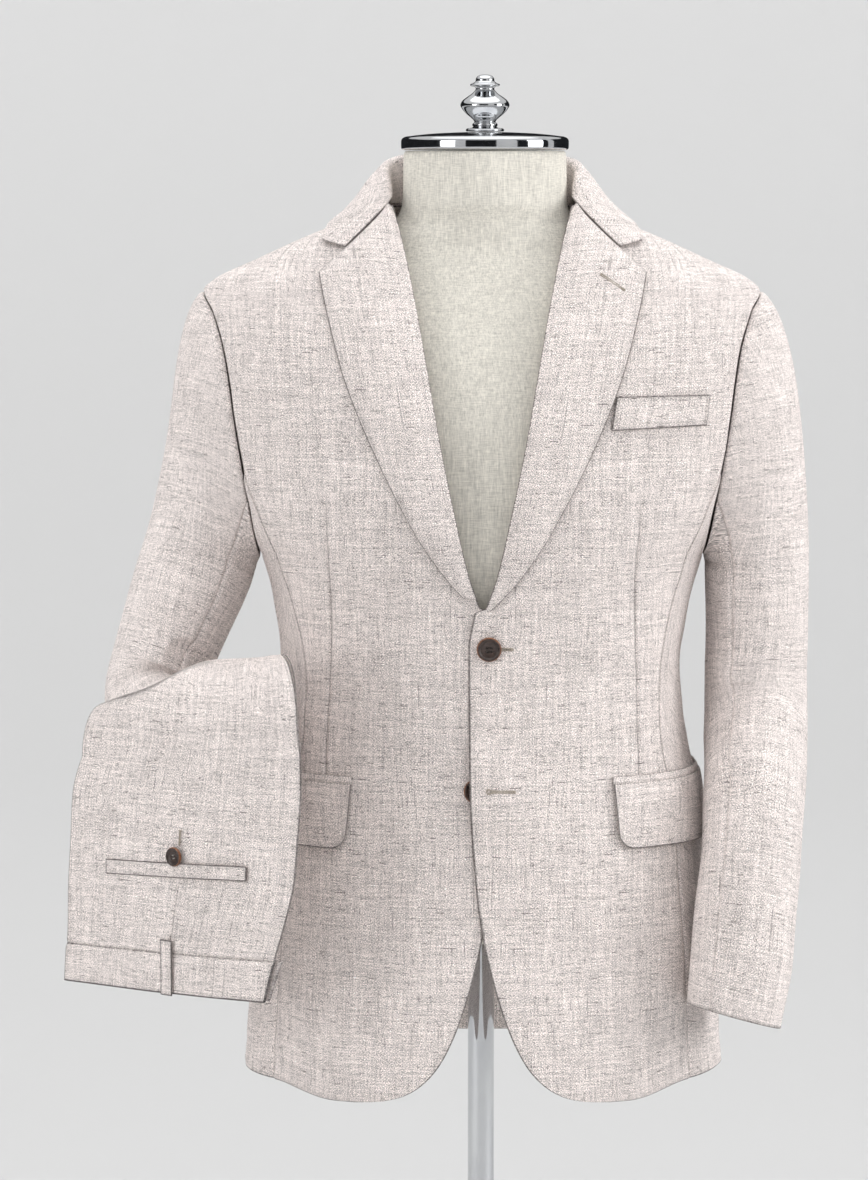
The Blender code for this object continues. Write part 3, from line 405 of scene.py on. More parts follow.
def spline(points, shares):
    """Rows of points on a smooth curve through the given rows, at shares of its length."""
    points = np.asarray(points, float)
    steps = np.linalg.norm(np.diff(points, axis=0), axis=-1)
    steps = steps.reshape(len(steps), -1).mean(axis=1)
    knots = np.concatenate([[0], np.cumsum(steps)]) / steps.sum()
    shape = (-1,) + (1,) * (points.ndim - 1)
    h = np.diff(knots)
    slopes = np.diff(points, axis=0) / h.reshape(shape)
    weight = (h[1:] / (h[:-1] + h[1:])).reshape(shape)
    inner = slopes[:-1] * weight + slopes[1:] * (1 - weight)
    ends = np.concatenate([slopes[:1], inner, slopes[-1:]])
    k = np.clip(np.searchsorted(knots, shares, side="right") - 1, 0, len(h) - 1)
    t = ((shares - knots[k]) / h[k]).reshape(shape)
    return curve(points[k], points[k + 1], ends[k], ends[k + 1], h[k].reshape(shape), t)


def refined(grid, rows, cols):
    """A grid of points made finer: its surface passes through the given points."""
    finer = spline(grid, rows)
    return np.swapaxes(spline(np.swapaxes(finer, 0, 1), cols), 0, 1)


def faces_facing_out(points, faces):
    """The faces of a closed mesh, turned so that its volume is positive."""
    points = np.asarray(points)
    total = 0.0
    for face in faces:
        a = points[face[0]]
        for b, c in zip(face[1:], face[2:]):
            total += np.dot(a, np.cross(points[b], points[c]))
    return faces if total > 0 else [face[::-1] for face in faces]


def piece(name, points, faces, material, replaced=(), cloth=None, mirror=False, lines=None):
    """A new piece of the model on the one body, with its places on the flat cloth and its painted shade along
    seams, edges and rims.
    """
    points = np.asarray(points, float)
    if mirror:
        points = points * MIRROR
        faces = [face[::-1] for face in faces]
    mesh = bpy.data.meshes.new(name)
    mesh.from_pydata(points.tolist(), [], faces)
    mesh.update()
    mesh.materials.append(material)
    mesh.shade_smooth()
    if cloth is not None:
        kept = mesh.attributes.new("cloth", "FLOAT_VECTOR", "POINT")
        kept.data.foreach_set("vector", np.asarray(cloth, np.float32).reshape(-1))
    # The attribute named seam holds painted shade: dark lines in seams and along edges and rims, and the
    # shadow where the trousers lie on the sleeve.
    if lines is not None:
        kept = mesh.attributes.new("seam", "FLOAT", "POINT")
        kept.data.foreach_set("value", np.asarray(lines, np.float32).reshape(-1))
    obj = bpy.data.objects.new(name, mesh)
    bpy.context.scene.collection.objects.link(obj)
    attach(obj, "root")
    if replaced:
        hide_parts(*replaced)
    return obj


def cloth_places(grid, start):
    """Places on the flat cloth, in metres: along the weft from the start, and up the warp."""
    runs = edge_runs(grid)
    start = np.broadcast_to(np.asarray(start, float), (len(grid),))
    u = start[:, None] + runs["l"]
    v = np.broadcast_to(np.mean(runs["b"], axis=1, keepdims=True), u.shape)
    return np.stack([u, v, np.zeros_like(u)], axis=-1)


def painted_edge_shade(grid, sewn="", free="", line=0.0026):
    """Share of painted shade beside a sheet's edges: a dark line in a seam and along a free edge, and a faint
    one where a free edge is stitched.
    """
    runs = edge_runs(grid)
    shade = np.zeros(grid.shape[:2])
    # Sewn edges: a painted line of shade in the seam.
    for side in sewn:
        shade = np.maximum(shade, 0.34 * np.exp(-((runs[side] / 0.0006) ** 2)))
    # Free edges: faint painted shade at the stitching, and a dark painted shadow line at the edge itself.
    for side in free:
        shade = np.maximum(shade, 0.20 * np.exp(-(((runs[side] - line) / 0.0007) ** 2)))
        shade = np.maximum(shade, 0.86 * np.exp(-((runs[side] / 0.00058) ** 2)))
    return shade


def shell(name, outer, material, replaced, thick, cloth, mirror=False, inner=None, lines=None):
    """A closed sheet of cloth with a rounded rim, from the grid of its outer face."""
    rows, cols = outer.shape[:2]
    normals = grid_normals(outer)
    if inner is None:
        inner = outer - normals * thick
    flip = np.sum(normals * (outer - inner)) < 0
    middle = (outer + inner) / 2
    rim = [(0, j) for j in range(cols)]
    rim += [(i, cols - 1) for i in range(1, rows)]
    rim += [(rows - 1, j) for j in range(cols - 2, -1, -1)]
    rim += [(i, 0) for i in range(rows - 2, 0, -1)]
    bulge = []
    for i, j in rim:
        near = (min(max(i, 1), rows - 2), min(max(j, 1), cols - 2))
        away = middle[i, j] - middle[near]
        length = np.linalg.norm(away)
        gap = np.linalg.norm(outer[i, j] - inner[i, j])
        bulge.append(middle[i, j] + away / max(length, 1e-9) * gap * RIM_BULGE)
    points = np.concatenate([outer.reshape(-1, 3), inner.reshape(-1, 3), np.array(bulge)])
    rim_cloth = np.array([cloth[i, j] for i, j in rim])
    places = np.concatenate([cloth.reshape(-1, 3), cloth.reshape(-1, 3) + [0, 0, 0.5], rim_cloth])
    half = rows * cols
    index = np.arange(half).reshape(rows, cols)
    a, b = index[:-1, :-1].ravel(), index[:-1, 1:].ravel()
    c, d = index[1:, 1:].ravel(), index[1:, :-1].ravel()
    faces = np.stack([a, b, c, d], axis=1).tolist()
    faces += (np.stack([d, c, b, a], axis=1) + half).tolist()
    count = len(rim)
    for k in range(count):
        n = (k + 1) % count
        p, q = index[rim[k]], index[rim[n]]
        faces.append([int(q), int(p), 2 * half + k, 2 * half + n])
        faces.append([2 * half + n, 2 * half + k, int(p) + half, int(q) + half])
    if flip:
        faces = [face[::-1] for face in faces]
    if lines is None:
        lines = np.zeros((rows, cols))
    # The rim gets at least RIM_SHADE of painted shade, a dark line along the edge; the inner face gets none.
    rim_painted_shade = np.array([max(lines[i, j], RIM_SHADE) for i, j in rim])
    shade = np.concatenate([lines.ravel(), np.zeros(half), rim_painted_shade])
    return piece(name, points, faces, material, replaced, places, mirror, shade)


EDGE_LINES = {
    "l": (np.s_[:, 0], np.s_[:, 1]),
    "r": (np.s_[:, -1], np.s_[:, -2]),
    "b": (np.s_[0], np.s_[1]),
    "t": (np.s_[-1], np.s_[-2]),
}


def open_seams(layer, edges):
    """Moves a layer's sewn edges in by half the seam's gap."""
    for edge in edges:
        line, beside = EDGE_LINES[edge]
        layer[line] += unit(layer[beside] - layer[line]) * SEAM_OPEN


def laid(
    name, angle, level, out, material, replaced, start, sewn="", free="", thick=CLOTH, side=1,
    extra=None, lines=None,
):
    """A shell on the jacket's body at a grid of angles and levels, with the body's soft relief under it."""
    bare = body(angle, level, out)
    height = out + relief(angle * side, level) + edge_relief(bare, sewn, free)
    if extra is not None:
        height = height + extra
    normals = body_normal(angle, level)
    outer = bare_body(angle, level) + normals * height[..., None]
    inner = outer - normals * thick
    for layer in (outer, inner):
        open_seams(layer, sewn)
    cloth = cloth_places(bare, start)
    # Painted shade beside the edges, and any further painted shade given as lines.
    shade = painted_edge_shade(bare, sewn, free)
    if lines is not None:
        shade = np.maximum(shade, lines)
    return shell(name, outer, material, replaced, thick, cloth, side < 0, inner, shade)


# Soft folds of the jacket's body: two places as (angle at the wearer's left, level), with the width,
# the height (below 0 for a trough) and the bow of each, in metres.
BODY_FOLDS = (
    (0.10, 1.010, 0.95, 1.080, 0.016, -0.0008, 0.006),
    (0.08, 0.990, 0.90, 0.960, 0.014, -0.0008, -0.004),
    (0.14, 1.030, 1.00, 1.150, 0.022, 0.0007, 0.008),
    (-0.12, 0.990, -0.90, 1.060, 0.018, -0.0010, 0.006),
    (-0.10, 0.980, -0.85, 0.930, 0.016, -0.0010, -0.005),
    (0.78, 1.190, 0.86, 1.010, 0.013, 0.0012, 0.004),
    (-0.78, 1.190, -0.88, 1.000, 0.013, 0.0014, -0.004),
    (0.66, 1.130, 0.74, 0.960, 0.012, -0.0009, 0.003),
    (-0.64, 1.140, -0.76, 0.950, 0.014, -0.0011, -0.004),
    (-0.32, 0.860, -0.44, 0.640, 0.030, -0.0016, 0.004),
    (-0.70, 0.840, -0.78, 0.640, 0.026, 0.0018, -0.004),
    (0.56, 0.830, 0.60, 0.650, 0.028, -0.0010, 0.004),
    (0.86, 0.860, 0.92, 0.640, 0.024, 0.0012, 0.003),
    (1.30, 0.980, 1.42, 0.640, 0.028, -0.0018, 0.006),
    (-1.30, 0.980, -1.40, 0.640, 0.028, -0.0018, -0.006),
    (1.75, 0.960, 1.86, 0.640, 0.026, 0.0020, 0.004),
    (-1.72, 0.960, -1.84, 0.640, 0.026, 0.0020, -0.004),
    (2.40, 0.960, 2.46, 0.640, 0.030, -0.0022, 0.004),
    (-2.42, 0.960, -2.50, 0.640, 0.030, -0.0022, -0.005),
    (2.84, 1.000, 2.80, 0.660, 0.026, 0.0016, 0.004),
    (-2.86, 1.000, -2.78, 0.660, 0.026, 0.0016, -0.004),
    (2.10, 1.140, 2.75, 1.060, 0.017, -0.0014, 0.010),
    (-2.10, 1.140, -2.72, 1.050, 0.017, -0.0014, -0.010),
    (2.02, 1.100, 2.70, 0.990, 0.015, 0.0012, 0.008),
    (-2.04, 1.100, -2.66, 0.985, 0.015, 0.0012, -0.008),
    (2.25, 1.030, 3.05, 0.990, 0.013, -0.0010, 0.004),
    (-2.25, 1.035, -3.00, 1.000, 0.013, -0.0010, -0.004),
    (2.55, 1.230, 2.95, 1.260, 0.020, 0.0010, 0.004),
    (-2.50, 1.230, -2.95, 1.265, 0.020, 0.0010, -0.004),
)
BODY_REACH = 0.165      # metres that an angle of 1 spans on the body


def relief(angle, level):
    """Height of the jacket's soft folds over the plain form; the angle is below 0 at the wearer's right."""
    turned = np.where(angle > math.pi, angle - 2 * math.pi, angle)
    u, v = turned * BODY_REACH, np.broadcast_to(level, np.shape(turned))
    height = creases(u, v, BODY_FOLDS, BODY_REACH)
    height = height + 0.0007 * ripple(u, v, 0.12, 11) + 0.0003 * ripple(u, v, 0.035, 12)
    flare = ramp(level, 0.90, HEM) * ramp(np.abs(turned), 0.5, 1.6)
    height = height + 0.0014 * flare * np.sin(9.0 * turned + 0.6 * ripple(u, v, 0.3, 13))
    calm = ramp(level, 1.345, 1.24)
    middle = ramp(np.abs(turned), 0.0, 0.25)
    return height * calm * (0.35 + 0.65 * middle)


DART = table(
    "level  x",
    (0.640, 0.1180),
    (0.890, 0.1300),
    (1.020, 0.1255),
    (1.138, 0.1290),
    (1.200, 0.1150),
    (1.362, 0.1000),
)
DART_SPAN = (0.890, 1.140)


def front_rows():
    """Levels of a front's rows, closer together at the hem and where its edge turns."""
    return joined(
        (HEM, 0.660, spread(0.023, 0.0028, True, False)),
        (0.660, 0.760, spread(0.100, 0.0032, False, False)),
        (0.760, BREAK_POINT, spread(0.271, GRID, False, False)),
        (BREAK_POINT, SHOULDER_POINT, spread(0.260, GRID, False, True)),
        (SHOULDER_POINT, NECK_POINT, spread(0.071, 0.0022, True, True)),
    )


def front_grid(side):
    """Angles, levels and offsets of a front, with a column along its dart, and the painted shade along the
    dart.
    """
    rows = front_rows()
    first = angle_of(front_edge(rows), rows)
    last = panel_side(rows, FRONT)
    dart = angle_of(at(DART, "x", rows), rows)
    dart = first + (last - first) * np.clip((dart - first) / (last - first), 0.25, 0.82)
    inner = spread(0.125, GRID, True, True)
    outer = spread(0.075, GRID, True, True)
    angle = np.concatenate(
        [
            first[:, None] + (dart - first)[:, None] * inner,
            (dart[:, None] + (last - dart)[:, None] * outer)[:, 1:],
        ],
        axis=1,
    )
    level = np.repeat(rows[:, None], angle.shape[1], axis=1)
    x = bare_body(angle, level)[..., 0]
    lift = over_button(x, level) if side > 0 else under_lap(x, level)
    drop = HEM_DROP * ramp(level, 0.760, HEM) * ramp(x, 0.180, 0.120)
    runs = edge_runs(bare_body(angle, level))["l"]
    from_dart = np.abs(runs - runs[:, len(inner) - 1 : len(inner)])
    sewn = ramp(level, DART_SPAN[0] - 0.004, DART_SPAN[0]) * ramp(level, DART_SPAN[1], DART_SPAN[1] - 0.05)
    groove = -SEAM_DIP * sewn * np.exp(-((from_dart / DART_DIP_WIDTH) ** 2))
    groove = groove + 0.0003 * sewn * np.exp(-(((from_dart - 0.004) / 0.002) ** 2))
    start = x[:, 0]
    # Painted shade: a dark line along the sewn dart.
    shade = 0.6 * sewn * np.exp(-((from_dart / DART_LINE) ** 2))
    return angle, level - drop, lift, groove, start, shade


def fronts(linen):
    for side, word in SIDES:
        angle, level, lift, groove, start, dart = front_grid(side)
        # dart, from front_grid, is the painted shade along the dart's line.
        made = laid(
            f"suit_front_{word}", angle, level, lift, linen, [f"jacket_front_{word}"],
            start, sewn="r", free="lb", side=side, extra=groove, lines=dart,
        )


def side_panels(linen):
    columns = spread(0.20, GRID, True, True)
    tops = []
    for share in columns:
        def turn(level, share=share):
            first, last = seam_angle(level, FRONT), seam_angle(level, BACK)
            return first + (last - first) * share

        half = FRONT if turn(UNDERARM) < SIDE else BACK
        sign = 1 if half == FRONT else -1
        if share in (0.0, 1.0):
            tops.append(JUNCTION[half])
            continue
        tops.append(crossing(UNDERARM, ARMHOLE_MIDDLE, lambda z: sign * (turn(z) - armhole_angle(z, half))))
    rows = spread(0.45, GRID, True, True)
    level = HEM + (np.array(tops)[None, :] - HEM) * rows[:, None]
    first, last = seam_angle(level, FRONT), seam_angle(level, BACK)
    angle = first + (last - first) * columns[None, :]
    for side, word in SIDES:
        made = laid(
            f"suit_side_{word}", angle, level, 0.0, linen, [f"jacket_side_{word}"],
            0.4, sewn="lrt", free="b", side=side,
        )


def backs(linen):
    rows = joined(
        (HEM, VENT_TOP - 0.030, spread(0.193, GRID, True, False)),
        (VENT_TOP - 0.030, VENT_TOP + 0.010, spread(0.040, 0.002, False, False)),
        (VENT_TOP + 0.010, SHOULDER_POINT, spread(0.421, GRID, False, True)),
        (SHOULDER_POINT, NECK_POINT, spread(0.071, 0.0022, True, True)),
    )
    shares = spread(0.190, GRID, True, True)
    for side, word in SIDES:
        first = np.full_like(rows, BACK)
        if side < 0:
            width, _ = body_size(rows, BACK)
            reach = VENT_OVERLAP * ramp(rows, VENT_TOP, VENT_TOP - 0.012)
            first = BACK + np.arcsin((reach / width) ** (BODY_ROUND / 2))
        last = panel_side(rows, BACK)
        angle = first[:, None] + (last - first)[:, None] * shares
        level = np.repeat(rows[:, None], len(shares), axis=1)
        x = bare_body(angle, level)[..., 0]
        under = np.zeros_like(x)
        if side < 0:
            under = -VENT_STEP * ramp(x, 0.030, 0.006) * ramp(level, VENT_TOP + 0.05, VENT_TOP)
        start = 0.8 + (x[:, 0] if side < 0 else 0 * x[:, 0])
        runs = edge_runs(bare_body(angle, level))["l"]
        seam = ramp(level, VENT_TOP - 0.004, VENT_TOP)
        groove = -SEAM_DIP * seam * np.exp(-((runs / SEAM_DIP_WIDTH) ** 2))
        # The lines given below are painted shade along the vent's seam.
        made = laid(
            f"suit_back_{word}", angle, level, under, linen, [f"jacket_back_{word}"],
            start, sewn="rt", free="b", side=side, extra=groove,
            lines=seam * np.exp(-((runs / 0.0007) ** 2)),
        )


def lapel_shape(side):
    """Angles, levels and offsets of a lapel, from its roll line out to its edge."""
    first = BREAK_POINT + (0.002 if side > 0 else 0.012)
    rows = joined(
        (first, 1.300, spread(1.300 - first, GRID, True, False)),
        (1.300, 1.306, spread(0.006, 0.0012, False, True)),
        (1.306, 1.357, spread(0.051, 0.0024, True, True)),
    )
    inner = at(ROLL, "x", rows)
    outer = np.where(rows <= 1.306, at(LAPEL, "x", rows), at(GORGE, "x", rows))
    shares = spread(0.075, 0.0030, True, True)
    x = inner[:, None] + (outer - inner)[:, None] * shares
    level = np.repeat(rows[:, None], len(shares), axis=1)
    belly = 0.0045 * (4 * shares * (1 - shares))[None, :] ** 0.8 * ramp(level, 1.031, 1.10)
    lift = belly + (under_lap(x, level) if side < 0 else 0.0)
    return angle_of(x, level), level, lift


def lapels(linen):
    for side, word in SIDES:
        angle, level, lift = lapel_shape(side)
        made = laid(
            f"suit_lapel_{word}", angle, level, ON_PANEL + lift, linen, [f"lapel_{word}"],
            1.4, free="rt", side=side,
        )


# The collar at the wearer's left, from its notch to the middle of the back. fold is its upper edge,
# which lies on the body up to the neck, and the leaf's lower edge is on the body at a turn in degrees
# and a level. rise is the air under the collar, and round how far the leaf bulges.
COLLAR = table(
    "fold_x  fold_y   fold_z  turn   leaf_level  rise    round",
    (0.1118, None, 1.3262, 53.4, 1.3305, 0.0010, 0.0000),
    (0.0943, None, 1.3422, 69.6, 1.3410, 0.0014, 0.0010),
    (0.0768, None, 1.3592, 81.6, 1.3465, 0.0022, 0.0025),
    (0.0800, -0.0140, 1.3760, 98.0, 1.3490, 0.0030, 0.0050),
    (0.0820, 0.0130, 1.3920, 115.0, 1.3515, 0.0030, 0.0060),
    (0.0730, 0.0450, 1.4000, 134.0, 1.3530, 0.0030, 0.006),
    (0.0430, 0.0720, 1.4030, 156.0, 1.3535, 0.0030, 0.006),
    (0.0000, 0.0820, 1.4040, 180.0, 1.3540, 0.0030, 0.006),
)
FOLD_RADIUS = 0.0032


def collar_section(k, columns):
    """Points of one section of the collar, over its fold and down to the edge of its leaf."""
    row = {name: column[k] for name, column in COLLAR.items()}
    out = row["rise"] + CLOTH
    turn, level = math.radians(row["turn"]), row["leaf_level"]
    leaf = body(turn, level, out)
    if row["fold_y"] is None:
        points = []
        for j in range(columns + 6):
            share = j / (columns + 5)
            z = row["fold_z"] + (level - row["fold_z"]) * share
            x = row["fold_x"] + (body(turn, level)[0] - row["fold_x"]) * share
            bulge = row["round"] * math.sin(math.pi * share)
            points.append(body(angle_of(x, z), z, out + bulge))
        return points
    fold = np.array([row["fold_x"], row["fold_y"], row["fold_z"]])
    flat = unit([leaf[0] - 0.5 * fold[0], leaf[1] - 0.5 * fold[1], 0])
    centre = fold - np.array([0, 0, FOLD_RADIUS])
    points = [centre - flat * FOLD_RADIUS - np.array([0, 0, 0.002])]
    for degrees in (150, 120, 90, 60, 30):
        angle = math.radians(degrees)
        points.append(centre + FOLD_RADIUS * (flat * math.cos(angle) + np.array([0, 0, math.sin(angle)])))
    start = points[-1]
    away = body_normal(turn, level)
    for j in range(1, columns + 1):
        share = j / columns
        bulge = row["round"] * math.sin(math.pi * share)
        points.append(start + (leaf - start) * share + away * bulge)
    return points


def both_sides(half):
    """Sections at the wearer's left, joined to their mirror images at the wearer's right."""
    half = np.array(half)
    return np.concatenate([half, half[:-1][::-1] * MIRROR])


def collars(linen):
    coarse = both_sides([collar_section(k, 8) for k in range(len(COLLAR["turn"]))])
    outer = refined(coarse, spread(0.46, 0.0030, True, True), spread(0.062, 0.0022, False, True))
    runs = edge_runs(outer)
    height = edge_relief(outer, free="rbt")
    height = height + 0.0003 * ripple(runs["b"], runs["l"], 0.05, 31)
    normals = grid_normals(outer)
    if normals[len(outer) // 2, 4, 1] < 0:
        normals = -normals
    outer = outer + normals * height[..., None]
    leaf = shell(
        "suit_collar_leaf", outer, linen, ["collar_leaf"], CLOTH,
        cloth_places(outer, 2.2)[:, :, [1, 0, 2]], inner=outer - normals * CLOTH,
        lines=painted_edge_shade(outer, free="rbt"),
    )
    stand = []
    for k in range(3, len(COLLAR["turn"])):
        row = {name: column[k] for name, column in COLLAR.items()}
        turn = math.radians(row["turn"])
        low = body(turn, NECK_POINT) * np.array([0.955, 0.955, 1]) + np.array([0, 0, 0.001])
        top = np.array([row["fold_x"], row["fold_y"], row["fold_z"]])
        inward = unit(top * np.array([1, 1, 0])) * FOLD_RADIUS
        top = top - inward - np.array([0, 0, FOLD_RADIUS + 0.0004])
        stand.append([low + (top - low) * i / 4 for i in range(5)])
    outer = refined(both_sides(stand), spread(0.36, 0.0036, True, True), spread(0.032, 0.0022, True, True))
    inward = outer.copy()
    inward[:, :, 2] = 0
    inner = outer - unit(inward) * CLOTH
    band = shell(
        "suit_collar_stand", outer, linen, ["collar_stand"], CLOTH,
        cloth_places(outer, 2.9)[:, :, [1, 0, 2]], inner=inner,
    )


# The sleeves' axes from the underarm down: place, half width and half depth of the tube.
HANGING_SLEEVE = table(
    "step  x       y        z       wide    deep",
    (0, 0.2330, 0.0100, 1.0600, 0.0439, 0.0660),
    (1, 0.2340, 0.0100, 0.9955, 0.0435, 0.0620),
    (2, 0.2325, 0.0020, 0.9450, 0.0435, 0.0590),
    (3, 0.2303, -0.0290, 0.8983, 0.0431, 0.0560),
    (4, 0.2268, -0.0570, 0.8590, 0.0420, 0.0530),
    (5, 0.2212, -0.0800, 0.8010, 0.0420, 0.0500),
    (6, 0.2160, -0.0940, 0.7520, 0.0423, 0.0480),
    (7, 0.2085, -0.1020, 0.6943, 0.0397, 0.0460),
)
CUFF_TILT = 0.14        # how far the hanging cuff drops to its outer side

# The bent sleeve, at the wearer's right, in the same frame as the left one before it is mirrored
BENT_TOP = np.array([0.2405, 0.0100, 1.0600])
BENT_ELBOW = np.array([0.2940, -0.0280, 0.9120])
BENT_CUFF = np.array([0.1850, -0.1270, 0.9466])
BEND_RADIUS = 0.048
SLEEVE_SEAMS = (-35.0, 200.0)   # turns of the front and the back seam of a sleeve
CAP_ROWS = 44           # rings of the sleeve's head
HANGING_RINGS = 151     # rings of the straight sleeve below its head
BENT_FINER = 8          # rings of the bent one, as a multiple of 4 above the bend, 8 in it and 4 below


def turned(v, start, end):
    """A vector carried along by the smallest turn that takes one direction to another."""
    axis = np.cross(start, end)
    s, c = np.linalg.norm(axis), float(np.dot(start, end))
    if s < 1e-9:
        return v
    axis = axis / s
    return v * c + np.cross(axis, v) * s + axis * np.dot(axis, v) * (1 - c)


def arc_between(corner, first, second, radius, steps):
    """Points of the arc that rounds a corner between two directions, and its centre."""
    half = math.acos(float(np.dot(first, second))) / 2
    reach = radius * math.tan(half)
    start = corner - first * reach
    side = unit(second - first * np.dot(first, second))
    centre = start + side * radius
    points = []
    for k in range(steps + 1):
        turn = 2 * half * k / steps
        points.append(centre - side * radius * math.cos(turn) + first * radius * math.sin(turn))
    return points, centre


def hanging_axis():
    """Rings of the straight sleeve: place, half width, half depth."""
    knots = np.column_stack([HANGING_SLEEVE[name] for name in ("x", "y", "z", "wide", "deep")])
    return [(row[:3], row[3], row[4]) for row in spline(knots, np.linspace(0, 1, HANGING_RINGS))]


def bent_axis():
    """Rings of the bent sleeve, and the centre that its elbow turns about."""
    first = unit(BENT_ELBOW - BENT_TOP)
    second = unit(BENT_CUFF - BENT_ELBOW)
    arc, centre = arc_between(BENT_ELBOW, first, second, BEND_RADIUS, 8 * BENT_FINER)
    steps = 4 * BENT_FINER
    upper = [BENT_TOP + (arc[0] - BENT_TOP) * k / steps for k in range(steps)]
    lower = [arc[-1] + (BENT_CUFF - arc[-1]) * k / steps for k in range(1, steps + 1)]
    places = upper + arc + lower
    rings = []
    for k, place in enumerate(places):
        share = k / (len(places) - 1)
        rings.append((place, 0.0490 - 0.0080 * ramp(share, 0, 0.3), 0.0640 - 0.0240 * share**0.6))
    return rings, centre


def tube(rings, turns, centre, tilt):
    """Rings of points about an axis. A turn of 0 is the front, 90 the outer side. Where the sleeve bends
    about a centre, its inner side is pressed flat there."""
    places = [ring[0] for ring in rings]
    tangents = [unit(b - a) for a, b in zip(places[:1] + places, places[1:] + places[-1:])]
    down = np.array([0.0, 0.0, -1.0])
    outer = turned(np.array([1.0, 0.0, 0.0]), down, tangents[0])
    front = turned(np.array([0.0, -1.0, 0.0]), down, tangents[0])
    rows = []
    for k, (place, wide, deep) in enumerate(rings):
        if k:
            outer = turned(outer, tangents[k - 1], tangents[k])
            front = turned(front, tangents[k - 1], tangents[k])
        drop = tilt * (k / (len(rings) - 1)) ** 3
        row = []
        for turn in turns:
            angle = math.radians(turn)
            offset = outer * wide * math.sin(angle) + front * deep * math.cos(angle)
            if centre is not None:
                crook = centre - place
                crook = unit(crook - tangents[k] * np.dot(crook, tangents[k]))
                near = ramp(np.linalg.norm(centre - place), BEND_RADIUS + 0.030, BEND_RADIUS)
                limit = BEND_RADIUS - 0.006 + 0.05 * (1 - near)
                offset = offset - crook * max(np.dot(offset, crook) - limit, 0.0)
            offset = offset + np.array([0, 0, -drop * offset[0]])
            row.append(place + offset)
        rows.append(row)
    return rows


def armhole_point(turn):
    """The start of the sleeve's surface, just inside the armhole's seam."""
    angle = math.radians(turn)
    level = ARMHOLE_MIDDLE + (SHOULDER_POINT - ARMHOLE_MIDDLE) * math.sin(angle)
    half = FRONT if math.cos(angle) > 0 else BACK
    depth = armhole_depth(level, half) * (-1 if half == FRONT else 1)
    seam = np.array([at(BODY, "seam", level), depth, level])
    hole = np.array([seam[0], 0.0, ARMHOLE_MIDDLE])
    return seam + unit(hole - seam) * 0.0006 + np.array([0.0006, 0, 0])


def sleeve_turns():
    first, second = SLEEVE_SEAMS
    top = first + (second - first) * spread(0.205, GRID, True, True)
    under = second + (first + 360 - second) * spread(0.105, GRID, True, True)
    return top, under


def sleeve_grid(rings, centre, tilt):
    """The whole sleeve's surface, ring by ring from the armhole, and its normals."""
    top, under = sleeve_turns()
    turns = list(top[:-1]) + list(under[:-1])
    lower = tube(rings, turns, centre, tilt)
    along = unit(rings[1][0] - rings[0][0])
    rows = []
    for k in range(CAP_ROWS):
        t = (k / CAP_ROWS) ** 1.3
        row = []
        for turn, end in zip(turns, lower[0]):
            start = armhole_point(turn)
            chord = np.linalg.norm(end - start)
            s, c = math.sin(math.radians(turn)), math.cos(math.radians(turn))
            away = unit([0.88, -0.12 * c, -0.45])
            away = away + (unit(end - start) - away) * ramp(s, 0.1, -0.9)
            row.append(
                start * (1 + 2 * t) * (1 - t) ** 2
                + end * t * t * (3 - 2 * t)
                + unit(away) * 0.43 * chord * t * (1 - t) ** 2
                - along * 1.25 * chord * t * t * (1 - t)
            )
        rows.append(row)
    points = np.array(rows + lower)
    across = np.roll(points, -1, axis=1) - np.roll(points, 1, axis=1)
    down = np.gradient(points, axis=0)
    normals = np.cross(down, across)
    normals /= np.linalg.norm(normals, axis=2, keepdims=True)
    middle = points.mean(axis=1, keepdims=True)
    if np.sum(normals[-1] * (points - middle)[-1]) < 0:
        normals = -normals
    return points, normals


# Soft folds of the sleeves: two places as (turn in degrees, distance below the underarm), with the
# width, the height (below 0 for a trough) and the bow of each, in metres.
HANGING_FOLDS = (
    (-95, -0.045, 20, 0.030, 0.013, -0.0019, 0.006),
    (-90, -0.010, 5, 0.062, 0.012, 0.0014, 0.005),
    (-100, 0.110, 35, 0.170, 0.012, -0.0022, 0.006),
    (-95, 0.078, 30, 0.128, 0.014, 0.0016, 0.006),
    (-90, 0.150, 20, 0.215, 0.013, 0.0013, 0.005),
    (-70, 0.215, 45, 0.262, 0.016, -0.0010, 0.004),
    (10, 0.300, 95, 0.345, 0.017, -0.0009, -0.004),
    (60, 0.030, 130, 0.100, 0.022, -0.0009, 0.004),
    (150, 0.100, 262, 0.130, 0.012, -0.0022, -0.006),
    (145, 0.140, 268, 0.152, 0.012, 0.0018, -0.004),
    (150, 0.176, 262, 0.186, 0.012, -0.0022, 0.004),
    (160, 0.215, 250, 0.236, 0.014, 0.0013, 0.004),
    (130, -0.060, 240, 0.000, 0.018, -0.0015, 0.006),
)
BENT_FOLDS = (
    (-100, -0.050, 30, 0.010, 0.013, -0.0018, 0.006),
    (-95, -0.010, 25, 0.050, 0.012, 0.0014, 0.005),
    (-85, 0.100, 40, 0.060, 0.010, -0.0018, -0.005),
    (-90, 0.122, 50, 0.096, 0.010, 0.0018, -0.004),
    (-90, 0.140, 60, 0.128, 0.009, -0.0024, -0.003),
    (-92, 0.158, 60, 0.166, 0.010, 0.0018, 0.003),
    (-85, 0.176, 40, 0.204, 0.010, -0.0018, 0.004),
    (60, 0.060, 110, 0.150, 0.020, -0.0010, 0.006),
    (40, 0.180, 110, 0.240, 0.018, -0.0010, 0.006),
    (130, -0.060, 235, 0.010, 0.018, -0.0015, 0.006),
    (140, 0.030, 240, 0.080, 0.016, 0.0014, 0.006),
)
SLEEVE_REACH = 0.00085  # metres that one degree spans on a sleeve


